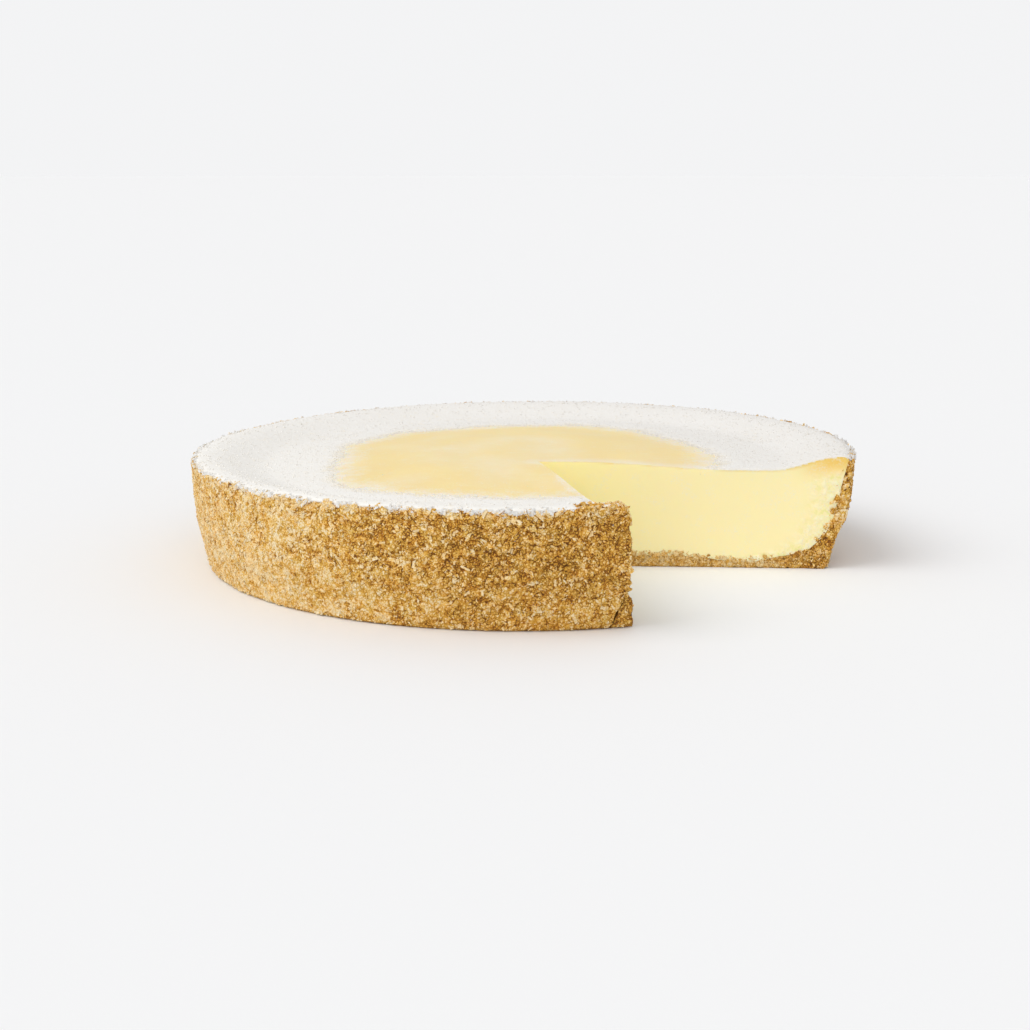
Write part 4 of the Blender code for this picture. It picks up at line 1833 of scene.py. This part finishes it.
@dataclass
class CheeseFilling:
    """The set filling, dished inside its lip and cut by a knife.

    Attributes:
        columns: Steps round the filling.
        ring_step: Spacing of the top's rings.
        snug: How far the filling reaches into the crust, so that no gap shows.
        cut_step: Spacing of the grid on the cut faces.
        sharp: Angle in degrees from which an edge is shaded sharp.
        lip: Radii between which the lip begins.
        glow: Radii between which the face under the lip browns.
        core: How far from the tip of the cut the brighter, yellower face ends.
        skin_depth: How deep a point of the bare top may lie.
    """

    form: CakeForm
    wedge: Wedge
    sugar: SugarDrift
    material: bpy.types.Material
    columns: int = 420
    ring_step: float = 1.5 * MM
    snug: float = 1.0 * MM
    cut_step: float = 0.8 * MM
    sharp: float = 50.0
    lip: tuple[float, float] = (98 * MM, 120 * MM)
    glow: tuple[float, float] = (106 * MM, 122 * MM)
    core: float = 55 * MM
    skin_depth: float = 0.15 * MM

    def build(self) -> bpy.types.Object:
        """Model the filling and take the wedge out of it."""
        form, ceiling = self.form, self.wedge.ceiling
        brim = form.inner_face[-1][0] * MM
        rings = round(brim / self.ring_step)
        top = [(brim * i / rings, ceiling) for i in range(rings)]
        shape = turned(top + form.inner_line(), self.columns)
        for vertex in shape.verts:
            point = vertex.co.copy()
            if point.z > ceiling - 0.1 * MM:
                vertex.co.z = form.top(point)
            else:
                vertex.co = form.inner_point(radius_of(point), point.z, azimuth_of(point), self.snug)
        filling = as_object("filling_body", shape)
        cut_away(filling, self.wedge.cutter(self.cut_step, self.knife_relief, 0.0))
        self.stain(filling)
        filling.data.set_sharp_from_angle(angle=math.radians(self.sharp))
        return finished(filling, Part.FILLING, self.material, True)

    def knife_relief(self, point: Vector, cut: Cut) -> float:
        """Read the slight drag of the knife on a cut face, rougher near the crust.

        Args:
            point: A point of the cut face.
            cut: Which cut.

        Returns:
            Its height.
        """
        drag = 0.12 * MM * noise.noise(Vector((point.x, point.y, 0.35 * point.z)) / (9 * MM))
        pits = noise.noise(point / (1.9 * MM)) + 0.6 * noise.noise(point / (0.9 * MM))
        return drag + 0.34 * MM * self.curd_at(point) * pits

    def curd_at(self, point: Vector) -> float:
        """Return how curdy the filling is at a point, 1 beside the crust's wall.

        Args:
            point: The point.

        Returns:
            A number from 0 to 1.
        """
        inset = float(self.form.inner_radius(point.z)) - radius_of(point)
        inset += 2.5 * MM * noise.noise(point / (5 * MM))
        beside = 1.0 - smooth_step(1.5 * MM, 15 * MM, inset)
        return beside * (1.0 - smooth_step(35 * MM, 40 * MM, point.z))

    def looks_at(self, place: Vector) -> dict[str, float]:
        """Work out what the material reads at a point.

        Args:
            place: The point, on the filling's surface.

        Returns:
            The share of skin, browning of the lip, brighter core near the tip, curd, dusting and haze, by
            their names.
        """
        radius = radius_of(place)
        lip = smooth_step(*self.lip, radius)
        under = self.form.top(place) - place.z
        on_top = under < self.skin_depth
        glow = 0.95 * smooth_step(*self.glow, radius) * (1.0 - smooth_step(1.5 * MM, 9.0 * MM, under))
        from_tip = (place - self.wedge.tip_at(place.z)).xy.length
        return {
            "skin": max(1.0 - smooth_step(0.1 * MM, (0.5 + 2.9 * lip) * MM, under), glow),
            "lip": 0.15 + 0.6 * lip if on_top else 0.25 + 0.75 * lip,
            "core": (1.0 - smooth_step(0.0, self.core, from_tip)) * smooth_step(0.0, 12 * MM, place.z),
            "curd": self.curd_at(place),
            "dust": self.sugar.film(place) if on_top else 0.0,
            "haze_and_highlight": self.sugar.haze_and_highlight(place) if on_top else 0.0,
        }

    def stain(self, filling: bpy.types.Object) -> None:
        """Store on the mesh what the material reads.

        Args:
            filling: The modelled filling.
        """
        looks = [self.looks_at(Vector(place)) for place in corners(filling.data)]
        for name in looks[0]:
            paint(filling, name, (look[name] for look in looks))


@dataclass(frozen=True)
class Lamp:
    """One soft sun.

    Attributes:
        name: The lamp's name.
        azimuth: Azimuth that it shines from, in degrees.
        elevation: Elevation that it shines from, in degrees.
        strength: Its power.
        softness: Its angular size in degrees.
    """

    name: str
    azimuth: float
    elevation: float
    strength: float
    softness: float

    def hang(self) -> None:
        """Put the lamp in the scene."""
        light = bpy.data.lights.new(self.name, "SUN")
        light.energy = self.strength
        light.angle = math.radians(self.softness)
        lamp = bpy.data.objects.new(self.name, light)
        bpy.context.scene.collection.objects.link(lamp)
        high = math.radians(self.elevation)
        source = direction(math.radians(self.azimuth)) * math.cos(high) + Vector((0.0, 0.0, math.sin(high)))
        lamp.rotation_euler = source.to_track_quat("Z", "Y").to_euler()
        lamp.location = source


@dataclass
class Studio:
    """Pale floor, soft light and the camera at the photograph's angle.

    Attributes:
        focal_pixels: Focal length in pixels of the square image.
        pitch: How far the camera looks down, in degrees.
        stand: Where the camera is.
        floor_colour: Colour of the floor.
        backdrop: Colour that the camera sees behind the floor.
        sky: Brightness of the light from all round.
        sensor: Width of the camera's sensor in millimetres.
        clip: Nearest and farthest distance that the camera sees.
        floor_radius: Radius of the floor.
        floor_gap: How far it lies under the cake.
        lamps: The lamps.
    """

    focal_pixels: float = 1684.3
    pitch: float = 11.683
    stand: tuple[float, float, float] = (-3.04 * MM, -664.8 * MM, 151.86 * MM)
    floor_colour: Colour = (0.87, 0.872, 0.878)
    backdrop: Colour = (0.90, 0.902, 0.91)
    sky: float = 0.69
    sensor: float = 36.0
    clip: tuple[float, float] = (0.01, 100.0)
    floor_radius: float = 30.0
    floor_gap: float = 0.05 * MM
    lamps: tuple[Lamp, ...] = (
        Lamp("key_light", -72.0, 50.0, 1.15, 45.0),
        Lamp("fill_light", -5.0, 25.0, 0.62, 60.0),
    )

    def build(self) -> None:
        """Lay the floor, hang the lights and set the camera."""
        self.floor()
        self.world()
        for lamp in self.lamps:
            lamp.hang()
        self.camera()
        bpy.context.scene.view_settings.view_transform = "Standard"

    def floor(self) -> None:
        """Lay a wide, pale floor under the cake."""
        shape = bmesh.new()
        bmesh.ops.create_circle(shape, cap_ends=True, segments=128, radius=self.floor_radius)
        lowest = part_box(Part.CRUST.value)[0].z
        bmesh.ops.translate(shape, verts=shape.verts[:], vec=(0.0, 0.0, lowest - self.floor_gap))
        ground = as_object("studio_floor", shape)
        material, _, shader = new_material("studio_paper")
        shader.inputs["Base Color"].default_value = (*self.floor_colour, 1.0)
        shader.inputs["Roughness"].default_value = 0.8
        shader.inputs["Specular IOR Level"].default_value = 0.1
        ground.data.materials.append(material)

    def world(self) -> None:
        """Light the scene from all round, in front of an even backdrop."""
        world = bpy.data.worlds.new("studio_air")
        world.use_nodes = True
        graph = NodeGraph(world.node_tree)
        glow = world.node_tree.nodes["Background"]
        seen = graph.add("LightPath").outputs["Is Camera Ray"]
        graph.feed([glow.inputs["Color"]], [graph.mix(seen, (self.sky, self.sky, self.sky), self.backdrop)])
        bpy.context.scene.world = world

    def camera(self) -> None:
        """Set the camera where the photograph was taken from."""
        lens = bpy.data.cameras.new("photo_camera")
        lens.sensor_width = self.sensor
        lens.lens = self.focal_pixels * self.sensor / PHOTO_PIXELS
        lens.clip_start, lens.clip_end = self.clip
        camera = bpy.data.objects.new("photo_camera", lens)
        camera.location = self.stand
        camera.rotation_euler = (math.radians(90.0 - self.pitch), 0.0, 0.0)
        bpy.context.scene.collection.objects.link(camera)
        bpy.context.scene.camera = camera


def main() -> None:
    """Build and dress every piece in order, and note the sizes."""
    logging.basicConfig(level=logging.INFO, format="%(name)s: %(message)s")
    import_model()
    form, wedge = CakeForm(), Wedge()
    effects = Effects.built()
    crust = CrumbCrust(form, wedge, CrumbFinish().build(effects))
    crust.build()
    crumbs = LooseCrumbs(crust)
    for seed, kind in enumerate(crumbs.kinds, FIRST_SEED):
        crumbs.build(kind, seed)
    sugar = SugarDrift(form, wedge, SugarFinish().build(effects))
    CheeseFilling(form, wedge, sugar, FillingFinish().build(effects)).build()
    sugar.build()
    sugar.scatter()
    Studio().build()


if __name__ == "__main__":
    main()
